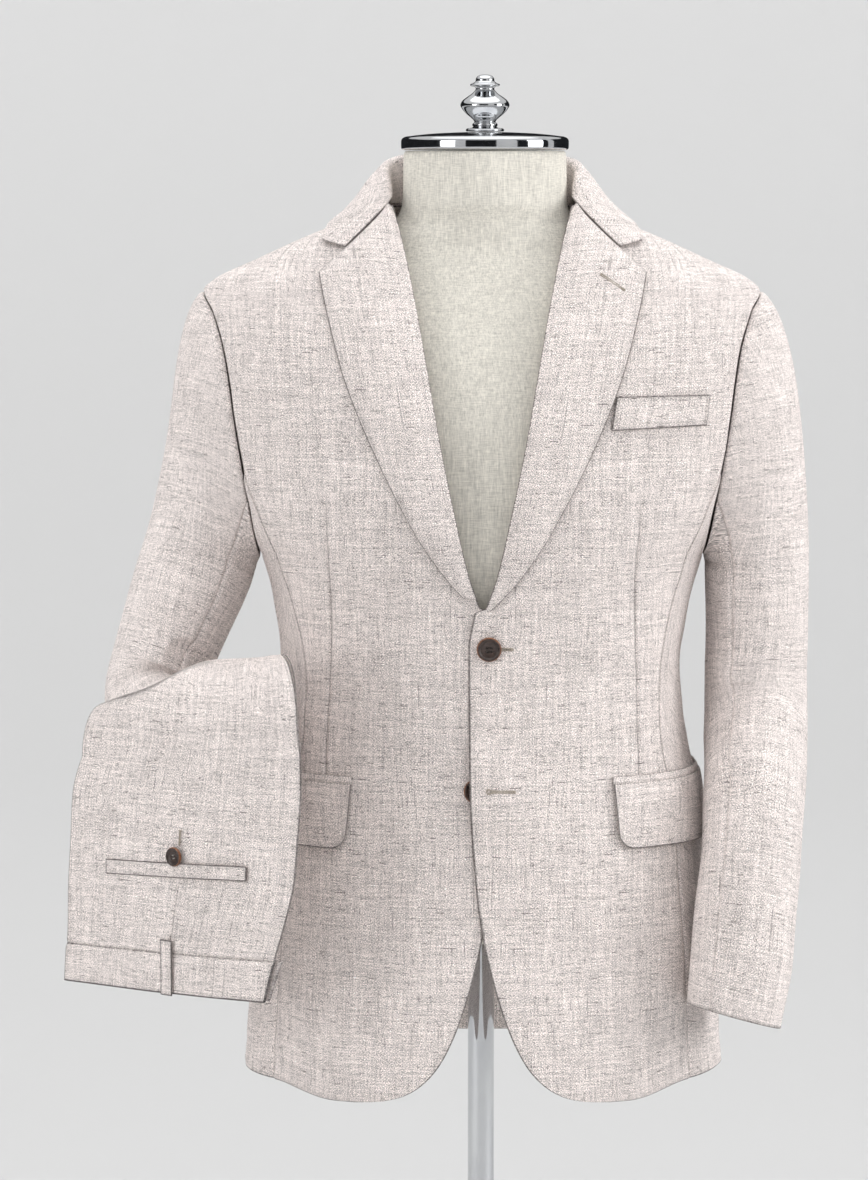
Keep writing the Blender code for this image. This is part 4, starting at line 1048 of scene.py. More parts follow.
def sleeve_relief(turn, run, folds, seed):
    """Height of a sleeve's soft folds over its plain tube, the same on both sides of the turn's end."""
    total = np.zeros(np.broadcast(turn, run).shape)
    for whole in (-360, 0, 360):
        total = total + creases((turn + whole) * SLEEVE_REACH, run, folds, SLEEVE_REACH, seed)
    x, y = np.cos(np.radians(turn)) * 0.05, np.sin(np.radians(turn)) * 0.05
    total = total + 0.0006 * ripple(x + 0.4 * run, y + 0.9 * run, 0.07, seed + 5)
    return total * ramp(run, -0.22, -0.05)


def painted_sleeve_shade(grid, side):
    """Painted shade of a sleeve's seams and hem and, at the wearer's right, a painted shadow beside the
    trousers that lie on it.
    """
    shade = np.maximum(painted_edge_shade(grid, "b"), painted_edge_shade(grid, free="t", line=0.004))
    shade = np.maximum(0.55 * shade, 0.22 * painted_edge_shade(grid, "lr"))
    # Painted shadow on the sleeve along the trousers' ridge, where they lie on it.
    if side < 0:
        ridge = np.array([draped_section(share)[RIDGE] for share in np.linspace(0, 1, 60)])
        gap = np.linalg.norm(grid[:, :, None] - ridge[None, None], axis=3).min(axis=2)
        shade = np.maximum(shade, 0.62 * np.exp(-np.maximum(gap - 0.002, 0) / 0.0045))
    return shade


def sleeves(linen):
    for side, word in SIDES:
        if side > 0:
            points, normals = sleeve_grid(hanging_axis(), None, CUFF_TILT)
            folds, seed = HANGING_FOLDS, 21
        else:
            rings, centre = bent_axis()
            points, normals = sleeve_grid(rings, centre, 0.0)
            folds, seed = BENT_FOLDS, 22
        top, under = sleeve_turns()
        count = points.shape[1]
        run = edge_runs(points)["b"].mean(axis=1)
        run = run - run[CAP_ROWS]
        for part, turns, first in (("top", top, 0), ("under", under, len(top) - 1)):
            pick = [(first + k) % count for k in range(len(turns))]
            outer, away = points[:, pick], normals[:, pick]
            height = sleeve_relief(turns[None, :], run[:, None], folds, seed)
            height = height + edge_relief(outer, sewn="lrb") + edge_relief(outer, free="t", line=0.004)
            outer = outer + away * height[..., None]
            inner = outer - away * CLOTH
            for layer in (outer, inner):
                open_seams(layer, "lr")
            runs = edge_runs(points[:, pick])
            middle = runs["l"][:, len(pick) // 2][:, None]
            down = np.repeat(runs["b"].mean(axis=1, keepdims=True), len(pick), axis=1)
            from_cap = runs["b"] - runs["b"][CAP_ROWS] + down[CAP_ROWS]
            down[:CAP_ROWS] = from_cap[:CAP_ROWS]
            weft = 3.3 + (runs["l"] - middle if part == "top" else runs["l"] + 0.6)
            cloth = np.stack([weft, -down, np.zeros_like(down)], axis=-1)
            made = shell(
                f"suit_sleeve_{word}_{part}", outer, linen, [f"sleeve_{word}_{part}"], CLOTH,
                cloth, side < 0, inner, painted_sleeve_shade(points[:, pick], side),
            )


WELT = ((0.1045, 1.1800), (0.1820, 1.1830), (0.1855, 1.2065), (0.1090, 1.2060))
FLAP_FRONT = 0.1075
FLAP_END = 1.80
FLAP_TOP, FLAP_BOTTOM = 0.8865, 0.8345
JET_HEIGHT = 0.006
FLAP_ROUND = 0.013


def breast_pocket(linen, thread):
    low_in, low_out, top_out, top_in = (np.array(p) for p in WELT)
    rows, cols = spread(0.0235, 0.0020, True, True), spread(0.078, 0.0030, True, True)
    start = low_in + (top_in - low_in) * rows[:, None]
    end = low_out + (top_out - low_out) * rows[:, None]
    flat = start[:, None] + (end - start)[:, None] * cols[None, :, None]
    x, z = flat[..., 0], flat[..., 1]
    made = laid(
        "suit_breast_welt", angle_of(x, z), z, ON_PANEL - 0.0005, linen, ["breast_welt"],
        free="lrbt", start=4.4,
    )
    for word, share in (("front", 0.022), ("back", 0.978)):
        path = [low_in + (low_out - low_in) * share, top_in + (top_out - top_in) * share]
        path = [path[0] + (path[1] - path[0]) * k / 8 for k in range(9)]
        sewn_line(f"welt_stitches_{word}", [on_body(x, z, ON_PANEL - 0.0003) for x, z in path], thread)


def on_body(x, level, out):
    """A point on the jacket's front and its normal, at a distance from the middle plane and a level."""
    angle = angle_of(abs(x), level) * (1 if x >= 0 else -1)
    away = body_normal(angle, level)
    return bare_body(angle, level) + away * (out + relief(angle, level)), away


def pocket_turns():
    """Turns along a hip pocket, closer together at its rounded ends."""
    first = angle_of(FLAP_FRONT, FLAP_TOP)
    return first + (FLAP_END - first) * spread(0.178, 0.0030, True, True, reach=0.020)


def hip_pockets(linen):
    turns = pocket_turns()
    ends = body(turns, FLAP_TOP)
    run = np.concatenate([[0], np.cumsum(np.linalg.norm(np.diff(ends, axis=0), axis=1))])
    near = np.maximum(FLAP_ROUND - np.minimum(run, run[-1] - run), 0.0)
    low = FLAP_BOTTOM + FLAP_ROUND - np.sqrt(FLAP_ROUND**2 - near**2)
    rows = spread(0.052, 0.0028, True, True)
    level = low[None, :] + (FLAP_TOP - low)[None, :] * rows[:, None]
    angle = np.repeat(turns[None, :], len(rows), axis=0)
    curl = 0.0012 * (1 - rows)[:, None] + 0.0006 * ripple(angle * 0.17, level, 0.05, 41)
    for side, word in SIDES:
        made = laid(
            f"suit_flap_{word}", angle, level, ON_PANEL + 0.0006, linen, [f"hip_flap_{word}"],
            free="lrb", side=side, start=4.9, extra=curl * (1 if side > 0 else 0.8),
        )
        jet_rows = spread(JET_HEIGHT, 0.0012, True, True, edge=0.0005, reach=0.002)
        jet_level = FLAP_TOP + 0.0003 + JET_HEIGHT * jet_rows
        grid_angle = np.repeat(turns[None, :], len(jet_rows), axis=0)
        grid_level = np.repeat(jet_level[:, None], len(turns), axis=1)
        crown = 0.0007 * np.sin(math.pi * jet_rows)[:, None] + np.zeros_like(grid_angle)
        made = laid(
            f"suit_jet_{word}", grid_angle, grid_level, ON_PANEL - 0.0006, linen,
            [f"hip_jet_{word}"], thick=CLOTH - 0.0006, side=side, start=5.4, extra=crown,
        )


def tube_mesh(path, radii, sides, closed=False):
    """Points and faces of a tube along a path, with a radius for each point of it."""
    path = np.array(path, float)
    if closed:
        along = unit(np.roll(path, -1, axis=0) - np.roll(path, 1, axis=0))
    else:
        along = unit(np.gradient(path, axis=0))
    guide = np.array([0.31, -0.84, 0.44])
    first = unit(np.cross(along, guide))
    second = np.cross(along, first)
    turn = np.linspace(0, 2 * math.pi, sides, endpoint=False)
    rings = (
        path[:, None]
        + (first[:, None] * np.cos(turn)[None, :, None] + second[:, None] * np.sin(turn)[None, :, None])
        * np.asarray(radii)[:, None, None]
    )
    count = len(path)
    faces = []
    for i in range(count if closed else count - 1):
        n = (i + 1) % count
        for k in range(sides):
            m = (k + 1) % sides
            faces.append([i * sides + k, i * sides + m, n * sides + m, n * sides + k])
    if not closed:
        faces.append(list(range(sides))[::-1])
        faces.append([(count - 1) * sides + k for k in range(sides)])
    points = rings.reshape(-1, 3)
    return points, faces_facing_out(points, faces)


def merged(parts):
    """One mesh from several, each as points and faces."""
    points, faces, base = [], [], 0
    for some, corners in parts:
        points.append(some)
        faces += [[base + k for k in face] for face in corners]
        base += len(some)
    return np.concatenate(points), faces


def sewn_line(name, places, material, length=0.0026, gap=0.0016, radius=0.00022):
    """A row of stitches along places on the cloth, each given as its point and normal."""
    points = np.array([p for p, _ in places])
    normals = np.array([n for _, n in places])
    run = np.concatenate([[0], np.cumsum(np.linalg.norm(np.diff(points, axis=0), axis=1))])
    parts, start = [], gap
    while start + length < run[-1]:
        path = []
        for t in np.linspace(0, 1, 7):
            here = start + length * t
            point = np.array([np.interp(here, run, points[:, k]) for k in range(3)])
            away = np.array([np.interp(here, run, normals[:, k]) for k in range(3)])
            path.append(point + unit(away) * (0.00030 * math.sin(math.pi * t) - 0.00012))
        swell = [radius * (0.6 + 0.4 * math.sin(math.pi * t)) for t in np.linspace(0, 1, 7)]
        parts.append(tube_mesh(path, swell, 6))
        start += length + gap
    points, faces = merged(parts)
    return piece(name, points, faces, material)


def buttonhole(name, front, back, away, material, keyhole, half=0.00075, radius=0.00055):
    """A worked buttonhole: a purled ring of thread about a slit, round at its front end."""
    front, back, away = (np.asarray(v, float) for v in (front, back, away))
    length = np.linalg.norm(back - front)
    along = (back - front) / length
    across = unit(np.cross(away, along))
    eye = 0.0018 if keyhole else half
    outline = []
    for degrees in np.linspace(150, -150, 30) + 180:
        angle = math.radians(degrees)
        outline.append((eye + eye * math.cos(angle), eye * math.sin(angle)))
    outline = outline[::-1] if outline[0][1] > 0 else outline
    start, stop = outline[-1], outline[0]
    across_start = math.copysign(half, start[1]) - start[1]
    across_stop = math.copysign(half, stop[1]) - stop[1]
    down = [
        (start[0] + (length - start[0]) * t, start[1] + across_start * min(1, 5 * t))
        for t in np.linspace(0, 1, 70)[1:]
    ]
    back_way = [
        (stop[0] + (length - stop[0]) * t, stop[1] + across_stop * min(1, 5 * t))
        for t in np.linspace(1, 0, 70)[:-1]
    ]
    ring = outline + down + back_way
    path = [front + along * a + across * b for a, b in ring]
    steps = np.arange(len(path))
    radii = radius * (1 + 0.22 * np.cos(steps * math.pi * 0.9) + 0.08 * noise_source.normal(size=len(path)))
    points, faces = tube_mesh(np.array(path), radii, 8, True)
    bars = []
    for k in range(4):
        place = back + along * (0.0002 * k) - away * 0.0001
        bar = [place + across * s for s in np.linspace(-0.0013, 0.0013, 7)]
        bars.append(tube_mesh(bar, [0.00035] * 7, 6))
    points, faces = merged([(points, faces)] + bars)
    return piece(name, points, faces, material)


def lathe_mesh(profile, steps, finer):
    """Points and faces of a solid turned about Z, from (radius, height) points made smoother."""
    profile = np.array(profile, float)
    steps_between = np.linalg.norm(np.diff(profile, axis=0), axis=1)
    knots = np.concatenate([[0], np.cumsum(steps_between)]) / steps_between.sum()
    between = [a + (b - a) * np.arange(finer) / finer for a, b in zip(knots, knots[1:])]
    shares = np.concatenate(between + [[1.0]])
    fine = spline(profile, shares) if finer > 1 else profile
    if finer > 1:
        low = np.minimum(profile[:-1], profile[1:]).repeat(finer, axis=0)
        high = np.maximum(profile[:-1], profile[1:]).repeat(finer, axis=0)
        fine[:-1] = np.clip(fine[:-1], low, high)
    fine[0], fine[-1] = profile[0], profile[-1]
    points, rings = [], []
    for radius, height in fine:
        if radius < 1e-6:
            if rings and len(rings[-1]) == 1:
                continue
            rings.append([len(points)])
            points.append([0, 0, height])
            continue
        rings.append(list(range(len(points), len(points) + steps)))
        for k in range(steps):
            angle = 2 * math.pi * k / steps
            points.append([radius * math.cos(angle), radius * math.sin(angle), height])
    faces = []
    for low, high in zip(rings, rings[1:]):
        for k in range(steps):
            n = (k + 1) % steps
            if len(low) == 1:
                faces.append([low[0], high[n], high[k]])
            elif len(high) == 1:
                faces.append([low[k], low[n], high[0]])
            else:
                faces.append([low[k], low[n], high[n], high[k]])
    return np.array(points), faces_facing_out(points, faces)


def placed(points, origin, axis, spin):
    """Points about Z carried to a place, with Z along an axis."""
    turn = Vector([float(v) for v in axis]).to_track_quat("Z", "Y").to_matrix()
    s, c = math.sin(spin), math.cos(spin)
    points = np.asarray(points) @ np.array([[c, s, 0], [-s, c, 0], [0, 0, 1]])
    return points @ np.array(turn).T + np.asarray(origin, float)


BUTTON_THICK = 0.0036


def button(name, origin, axis, radius, material, thread, replaced, spin):
    """A four-hole button with a raised rim, its holes cut through, and the thread in them."""
    r, t = radius, BUTTON_THICK
    profile = (
        (0, 0), (r * 0.70, 0), (r * 0.93, t * 0.14), (r * 0.995, t * 0.45), (r * 0.985, t * 0.70),
        (r * 0.93, t * 0.93), (r * 0.86, t * 1.0), (r * 0.79, t * 0.97), (r * 0.73, t * 0.80),
        (r * 0.67, t * 0.72), (r * 0.60, t * 0.75), (r * 0.52, t * 0.71), (r * 0.30, t * 0.66), (0, t * 0.65),
    )
    points, faces = lathe_mesh(profile, 72, 3)
    solid = bmesh.new()
    corners = [solid.verts.new(p) for p in points]
    for face in faces:
        solid.faces.new([corners[k] for k in face])
    mesh = bpy.data.meshes.new(name + "_blank")
    solid.to_mesh(mesh)
    solid.free()
    blank = bpy.data.objects.new(name + "_blank", mesh)
    bpy.context.scene.collection.objects.link(blank)
    drills, places = [], []
    for k in range(4):
        angle = math.pi / 4 + math.pi / 2 * k
        places.append((0.235 * r * math.cos(angle), 0.235 * r * math.sin(angle)))
    for x, y in places:
        made, corners = lathe_mesh(((0, -t), (0.105 * r, -t), (0.105 * r, 2 * t), (0, 2 * t)), 20, 1)
        drills.append((made + np.array([x, y, 0]), corners))
    drill_points, drill_faces = merged(drills)
    cutter_mesh = bpy.data.meshes.new(name + "_drill")
    cutter_mesh.from_pydata(drill_points.tolist(), [], drill_faces)
    cutter = bpy.data.objects.new(name + "_drill", cutter_mesh)
    bpy.context.scene.collection.objects.link(cutter)
    cut = blank.modifiers.new("holes", "BOOLEAN")
    cut.operation, cut.solver, cut.object = "DIFFERENCE", "EXACT", cutter
    bpy.context.view_layer.update()
    drilled = bpy.data.meshes.new_from_object(blank.evaluated_get(bpy.context.evaluated_depsgraph_get()))
    points = np.array([v.co for v in drilled.vertices])
    faces = [list(p.vertices) for p in drilled.polygons]
    for spare in (blank, cutter):
        bpy.data.objects.remove(spare)
    axis_place = np.column_stack([points[:, :2] / r, points[:, 2] / t])
    made = piece(name, placed(points, origin, axis, spin), faces, material, replaced, axis_place)
    made.data.set_sharp_from_angle(angle=math.radians(40))
    bars = []
    for a, b in ((0, 1), (3, 2)):
        first, second = np.array([*places[a], t * 0.40]), np.array([*places[b], t * 0.40])
        for shift in (-0.00018, 0.00018):
            path = []
            for s in np.linspace(0, 1, 13):
                lift = t * 0.36 * math.sin(math.pi * s) ** 0.35
                path.append(first + (second - first) * s + np.array([shift, shift, lift]))
            bars.append(tube_mesh(path, [0.00024] * 13, 6))
    points, faces = merged(bars)
    piece(name + "_thread", placed(points, origin, axis, spin), faces, thread)
    return made


def front_buttons(horn, dark_thread):
    top = angle_of(BUTTON_LINE, BUTTON_LEVELS[0])
    away = body_normal(top, BUTTON_LEVELS[0])
    lift = 0.0006 + float(relief(top, BUTTON_LEVELS[0]))
    button(
        "suit_button_top", body(top, BUTTON_LEVELS[0], lift), away, 0.0102,
        horn, dark_thread, ["front_button_top"], 0.12,
    )
    low = -angle_of(0.0055, BUTTON_LEVELS[1])
    away = body_normal(low, BUTTON_LEVELS[1])
    lift = 0.0004 - CLOTH - LAY_GAP + float(relief(low, BUTTON_LEVELS[1]))
    button(
        "suit_button_lower", body(low, BUTTON_LEVELS[1], lift), away, 0.0102,
        horn, dark_thread, ["front_button_lower"], -0.2,
    )


def buttonholes(thread):
    """The worked holes of the left front and of the left lapel."""
    for word, start, end, level in zip(("top", "lower"), (0.0120, 0.0030), (0.0240, 0.0258), BUTTON_LEVELS):
        lift = 0.0009 + float(over_button(start, level))
        front, away = on_body(start, level, lift)
        back, _ = on_body(end, level - 0.0004, 0.0009 + float(over_button(end, level)))
        buttonhole(f"buttonhole_{word}", front, back, away, thread, word == "lower")
    places = []
    for x, level in ((0.0957, 1.3022), (0.1145, 1.2905)):
        inner, outer = at(ROLL, "x", level), at(LAPEL, "x", level)
        share = (x - inner) / (outer - inner)
        lift = ON_PANEL + 0.0045 * (4 * share * (1 - share)) ** 0.8 + 0.0002
        places.append(on_body(x, level, lift))
    buttonhole("buttonhole_lapel", places[1][0], places[0][0], places[0][1], thread, False)


# The trousers, over the bent forearm with their waist down, in the bent sleeve's frame. FOLD is the
# ridge over the forearm, the line that the cloth comes down behind it, and the share of that way which
# it goes; TROUSER_EDGES holds the two sides of the part that hangs in front.
FOLD = table(
    "share  x       y        z       back_x  back_y   way",
    (0.00, 0.3120, -0.0860, 0.9520, 0.2750, -0.0450, 0.03),
    (0.25, 0.2730, -0.1090, 0.9700, 0.2340, -0.0660, 0.03),
    (0.42, 0.2420, -0.1050, 0.9840, 0.2010, -0.0600, 0.08),
    (0.52, 0.2260, -0.1000, 0.9890, 0.1840, -0.0530, 0.30),
    (0.64, 0.2060, -0.1120, 0.9930, 0.1705, -0.0725, 1.00),
    (0.80, 0.1830, -0.1310, 0.9960, 0.1580, -0.0895, 1.00),
    (1.00, 0.1640, -0.1500, 1.0000, 0.1530, -0.1110, 1.00),
)
BACK_END = 0.858        # level where the cloth behind the forearm ends
TROUSER_EDGES = table(
    "level  outer   inner",
    (0.714, 0.3492, 0.1795),
    (0.7624, 0.3462, 0.1675),
    (0.798, 0.3450, 0.1575),
    (0.826, 0.3443, 0.1514),
    (0.874, 0.3405, 0.1474),
    (0.9217, 0.3270, 0.1460),
    (0.9616, 0.3120, 0.1496),
    (1.004, 0.3050, 0.1600),
)
BAND_TOP = table("share  level", (0.0, 0.7468), (1.0, 0.7577))
BAND_LOW = table("share  level", (0.0, 0.7161), (1.0, 0.7243))
FOLD_DROP = 0.046       # from the fold's ridge to where the front part hangs straight


def hanging(share, level, out=0.0):
    """A point of the part of the trousers that hangs in front, from its outer edge to its inner one."""
    outer, inner = at(TROUSER_EDGES, "outer", level), at(TROUSER_EDGES, "inner", level)
    x = outer + (inner - outer) * share
    y = -0.062 - (0.345 - x) * 0.82 - 0.006 * math.sin(math.pi * share)
    normal = np.array([0.634, -0.773, 0.0])
    return np.array([x, y, level]) + normal * out


def hanging_share(x, level):
    outer, inner = at(TROUSER_EDGES, "outer", level), at(TROUSER_EDGES, "inner", level)
    return (x - outer) / (inner - outer)


def along(path, count):
    """Points spread evenly along a path, from its end back to its start."""
    path = np.array(path)
    run = np.concatenate([[0], np.cumsum(np.linalg.norm(np.diff(path, axis=0), axis=1))])
    wanted = np.linspace(run[-1], 0, count + 1)
    return [np.array([np.interp(w, run, path[:, k]) for k in range(3)]) for w in wanted]


def draped_section(share):
    """The trousers' cloth at one share of their width, from behind the forearm to the waistband."""
    row = {name: at(FOLD, name, share, "share") for name in FOLD}
    ridge = np.array([row["x"], row["y"], row["z"]])
    back = np.array([row["back_x"], row["back_y"], row["z"] - FOLD_DROP])
    down = []
    for k in range(25):
        angle = math.pi / 2 * k / 24
        flat = ridge + (back - ridge) * math.sin(angle)
        down.append(np.array([flat[0], flat[1], back[2] + FOLD_DROP * math.cos(angle)]))
    down += [back + (np.array([back[0], back[1], BACK_END]) - back) * k / 12 for k in range(1, 13)]
    run = np.concatenate([[0], np.cumsum([np.linalg.norm(b - a) for a, b in zip(down, down[1:])])])
    limit = max(row["way"], 0.02) * run[-1]
    kept = [p for p, r in zip(down, run) if r < limit]
    kept.append(np.array([np.interp(limit, run, np.array(down)[:, k]) for k in range(3)]))
    points = along(kept, RIDGE - 1)
    front = hanging(share, row["z"] - FOLD_DROP)
    for degrees in np.linspace(84, 0, 15):
        angle = math.radians(degrees)
        flat = ridge + (front - ridge) * math.cos(angle)
        points.append(np.array([flat[0], flat[1], front[2] + FOLD_DROP * math.sin(angle)]))
    end = at(BAND_TOP, "level", share, "share") + 0.0004
    for t in spread(0.19, GRID, False, True)[1:]:
        points.append(hanging(share, front[2] + (end - front[2]) * t))
    return points


# Soft folds of the hanging part of the trousers: two places as (share of its width, distance below
# the ridge), with the width, the height and the bow of each, in metres.
TROUSER_FOLDS = (
    (0.60, 0.000, 0.38, 0.090, 0.011, -0.0024, 0.006),
    (0.72, -0.010, 0.80, 0.110, 0.013, 0.0030, -0.004),
    (0.64, 0.000, 0.70, 0.080, 0.009, -0.0020, 0.003),
    (0.90, -0.010, 0.93, 0.150, 0.012, 0.0022, -0.005),
    (0.84, 0.000, 0.88, 0.120, 0.009, -0.0018, 0.003),
    (0.12, 0.020, 0.45, 0.060, 0.012, 0.0016, -0.006),
    (0.10, 0.060, 0.34, 0.120, 0.015, -0.0014, -0.006),
    (0.28, 0.110, 0.22, 0.230, 0.020, 0.0014, 0.004),
    (0.70, 0.120, 0.76, 0.235, 0.020, -0.0014, 0.004),
    (0.97, 0.120, 0.95, 0.240, 0.010, 0.0014, 0.002),
)
TROUSER_WIDTH = 0.22
RIDGE = 27              # the point of a section where the trousers turn over the forearm


def trouser_relief(share, level, fall):
    """Height of the trousers' folds, which die away towards the waistband."""
    u = share * TROUSER_WIDTH
    total = creases(u, fall, TROUSER_FOLDS, TROUSER_WIDTH, 51) + 0.0007 * ripple(u, fall, 0.07, 53)
    return total * ramp(level, 0.760, 0.800)


def trouser_seat(linen):
    first = spread(0.110, GRID, True, True)
    shares = np.concatenate([0.503 * first, 0.503 + 0.497 * first[1:]])
    outer = np.array([draped_section(share) for share in shares])
    normals = grid_normals(outer)
    if normals[len(outer) // 2, -4, 1] > 0:
        normals = -normals
    runs = edge_runs(outer)
    fall = runs["l"] - runs["l"][:, RIDGE : RIDGE + 1]
    level = outer[..., 2]
    height = trouser_relief(shares[:, None], level, fall)
    from_dart = np.abs(runs["b"] - runs["b"][len(first) - 1 : len(first)])
    sewn = ramp(level, 0.842, 0.800) * (fall > 0.02)
    height = height - 0.0012 * sewn * np.exp(-((from_dart / 0.0013) ** 2))
    height = height + edge_relief(outer, free="bt", line=0.003) + edge_relief(outer, sewn="r")
    outer = outer + normals * height[..., None]
    inner = outer - normals * LIGHT_CLOTH
    cloth = np.stack([shares[:, None] * TROUSER_WIDTH + 0 * fall, 6.0 + runs["r"], 0 * fall], axis=-1)
    # Painted shade along the waistband seam, the free edges and the dart.
    lines = np.maximum(0.5 * painted_edge_shade(outer, "r"), painted_edge_shade(outer, free="bt", line=0.003))
    lines = np.maximum(lines, 0.35 * sewn * np.exp(-((from_dart / 0.0006) ** 2)))
    # Painted shadow along the ridge where the trousers turn over the forearm against the sleeve.
    crook = ramp(shares, 0.60, 0.50)[:, None] * np.exp(-(((fall - 0.0025) / 0.0030) ** 2))
    lines = np.maximum(lines, 0.8 * crook)
    made = shell(
        "suit_trouser_seat", outer * MIRROR, linen, ["trouser_seat"], LIGHT_CLOTH, cloth,
        inner=inner * MIRROR, lines=lines,
    )


def strip_grid(corners, rows, cols, out):
    """Points of a strip on the hanging part, from its (share, level) corners."""
    low_outer, low_inner, top_inner, top_outer = (np.array(c) for c in corners)
    start = low_outer + (top_outer - low_outer) * rows[:, None]
    end = low_inner + (top_inner - low_inner) * rows[:, None]
    flat = start[:, None] + (end - start)[:, None] * cols[None, :, None]
    grid = np.array([[hanging(share, level, out) for share, level in line] for line in flat])
    return grid * MIRROR


OUT_OF_HANG = np.array([-0.634, -0.773, 0.0])


def strip(
    name, corners, size, material, replaced, out, thick, free="lrbt", sewn="", start=6.6,
    wave=0.0003, dark=1.4,
):
    """A narrow piece on the hanging part of the trousers."""
    rows, cols = spread(size[1], 0.0028, True, True), spread(size[0], GRID, True, True)
    outer = strip_grid(corners, rows, cols, out)
    height = edge_relief(outer, sewn, free, 0.0016)
    runs = edge_runs(outer)
    height = height + wave * ripple(runs["l"], runs["b"], 0.06, 61)
    outer = outer + OUT_OF_HANG * height[..., None]
    # dark scales the painted shade beside the strip's edges.
    made = shell(
        name, outer, material, replaced, thick,
        cloth_places(outer, start), inner=outer - OUT_OF_HANG * thick,
        lines=np.minimum(1.0, dark * painted_edge_shade(outer, sewn, free, 0.0016)),
    )
    return made


def trouser_parts(linen, thread, dark_thread, horn):
    top = [BAND_TOP["level"][k] for k in (0, 1)]
    low = [BAND_LOW["level"][k] for k in (0, 1)]
    corners = ((0, low[0]), (1, low[1]), (1, top[1]), (0, top[0]))
    band = strip(
        "suit_waistband", corners, (0.222, 0.031), linen, ["trouser_waistband"], 0.0008, 0.0032, "lrb", "t",
    )
    inner = ((0.01, low[0] + 0.001), (1.006, low[1] + 0.001), (1.018, top[1]), (0.01, top[0]))
    under = strip(
        "suit_waistband_under", inner, (0.222, 0.031), linen, ["trouser_waistband_under"],
        -0.0032, 0.0032, start=7.0, dark=0.5,
    )
    places = ((0.2572, 0.7191), (0.2572, 0.7638))
    half = 0.026
    ends = [(hanging_share(x, level), level) for x, level in places]
    corners = (
        (ends[0][0] - half, ends[0][1]), (ends[0][0] + half, ends[0][1]),
        (ends[1][0] + half, ends[1][1]), (ends[1][0] - half, ends[1][1]),
    )
    loop = strip("suit_belt_loop", corners, (0.011, 0.045), linen, ["belt_loop"], 0.0032, 0.0018, start=7.4)
    corners = []
    for x, level in ((0.3102, 0.8121), (0.1903, 0.8218), (0.1903, 0.8330), (0.3102, 0.8236)):
        corners.append((float(hanging_share(x, level)), level))
    welt = strip(
        "suit_trouser_welt", corners, (0.134, 0.011), linen, ["trouser_pocket_welt"],
        0.0018, 0.0014, start=7.6, wave=0.0001,
    )
    low_outer, low_inner, top_inner, top_outer = (np.array(c) for c in corners)
    lines = {
        "top": (top_outer + [-0.006, 0.0012], top_inner + [0.006, 0.0012]),
        "front": (low_outer + [-0.006, 0.0], top_outer + [-0.006, 0.0]),
        "back": (low_inner + [0.012, -0.0012], top_inner + [0.012, 0.0012]),
    }
    for word, (a, b) in lines.items():
        path = []
        for t in np.linspace(0, 1, 30):
            share, level = a + (b - a) * t
            path.append((hanging(share, level, 0.0006) * MIRROR, OUT_OF_HANG))
        sewn_line(f"trouser_stitches_{word}", path, dark_thread, 0.0018, 0.0012, 0.00016)
    x, level = 0.2493, 0.8343
    place = hanging(hanging_share(x, level), level, 0.0024) * MIRROR
    button(
        "suit_trouser_button", place, OUT_OF_HANG, 0.0080, horn, dark_thread,
        ["trouser_pocket_button"], 0.3,
    )
    ends = []
    for x, level in ((0.2470, 0.8435), (0.2462, 0.8555)):
        ends.append(hanging(hanging_share(x, level), level, 0.0008) * MIRROR)
    buttonhole("buttonhole_trouser", ends[0], ends[1], OUT_OF_HANG, thread, False, 0.0005, 0.0004)


def folded_legs(linen):
    """The rest of the trousers, folded up and down behind the part that hangs in front."""
    low, high, layers, depth = 0.7685, 0.8640, 4, 0.0092
    turn = depth / 2
    path = []
    for k in range(layers):
        out = -LIGHT_CLOTH - 0.0035 - depth * k
        ends = (high, low) if k % 2 == 0 else (low, high)
        path += [(out, ends[0] + (ends[1] - ends[0]) * t) for t in np.linspace(0, 1, 20)]
        if k < layers - 1:
            way = -1 if k % 2 == 0 else 1
            for angle in np.linspace(0, math.pi, 8)[1:-1]:
                path.append((out - turn + turn * math.cos(angle), ends[1] + way * turn * math.sin(angle)))
    shares = 0.09 + 0.68 * spread(0.15, 0.0045, True, True)
    outer = []
    for share in shares:
        row = []
        for out, level in path:
            wave = 0.0010 * math.sin(9 * share + 30 * level) + 0.0006 * math.sin(23 * share + 200 * out)
            row.append(hanging(share, level + 0.018 * share - 0.004, out + wave) * MIRROR)
        outer.append(row)
    outer = np.array(outer)
    made = shell(
        "suit_trouser_legs", outer, linen, ["trouser_folded_legs"], LIGHT_CLOTH,
        cloth_places(outer, 8.0)[:, :, [1, 0, 2]],
    )


# The dress form: half width, front and back depth of its sections
FORM = table(
    "level  wide    front   back",
    (0.752, 0.1460, 0.0960, 0.0960),
    (0.760, 0.1520, 0.1010, 0.1010),
    (0.850, 0.1600, 0.1060, 0.1080),
    (0.930, 0.1500, 0.1010, 0.0960),
    (0.978, 0.1460, 0.1010, 0.0900),
    (1.070, 0.1600, 0.1110, 0.0990),
    (1.173, 0.1780, 0.1080, 0.1070),
    (1.240, 0.1830, 0.0960, 0.1000),
    (1.275, 0.1780, 0.0840, 0.0910),
    (1.300, 0.1600, 0.0745, 0.0830),
    (1.330, 0.1060, 0.0660, 0.0710),
    (1.350, 0.0740, 0.0690, 0.0620),
    (1.364, 0.0690, 0.0745, 0.0620),
    (1.4068, 0.0680, 0.0740, 0.0620),
)
NECK_CENTRE = (0.0025, -0.006, 0.0)


TORSO_STEPS = 112


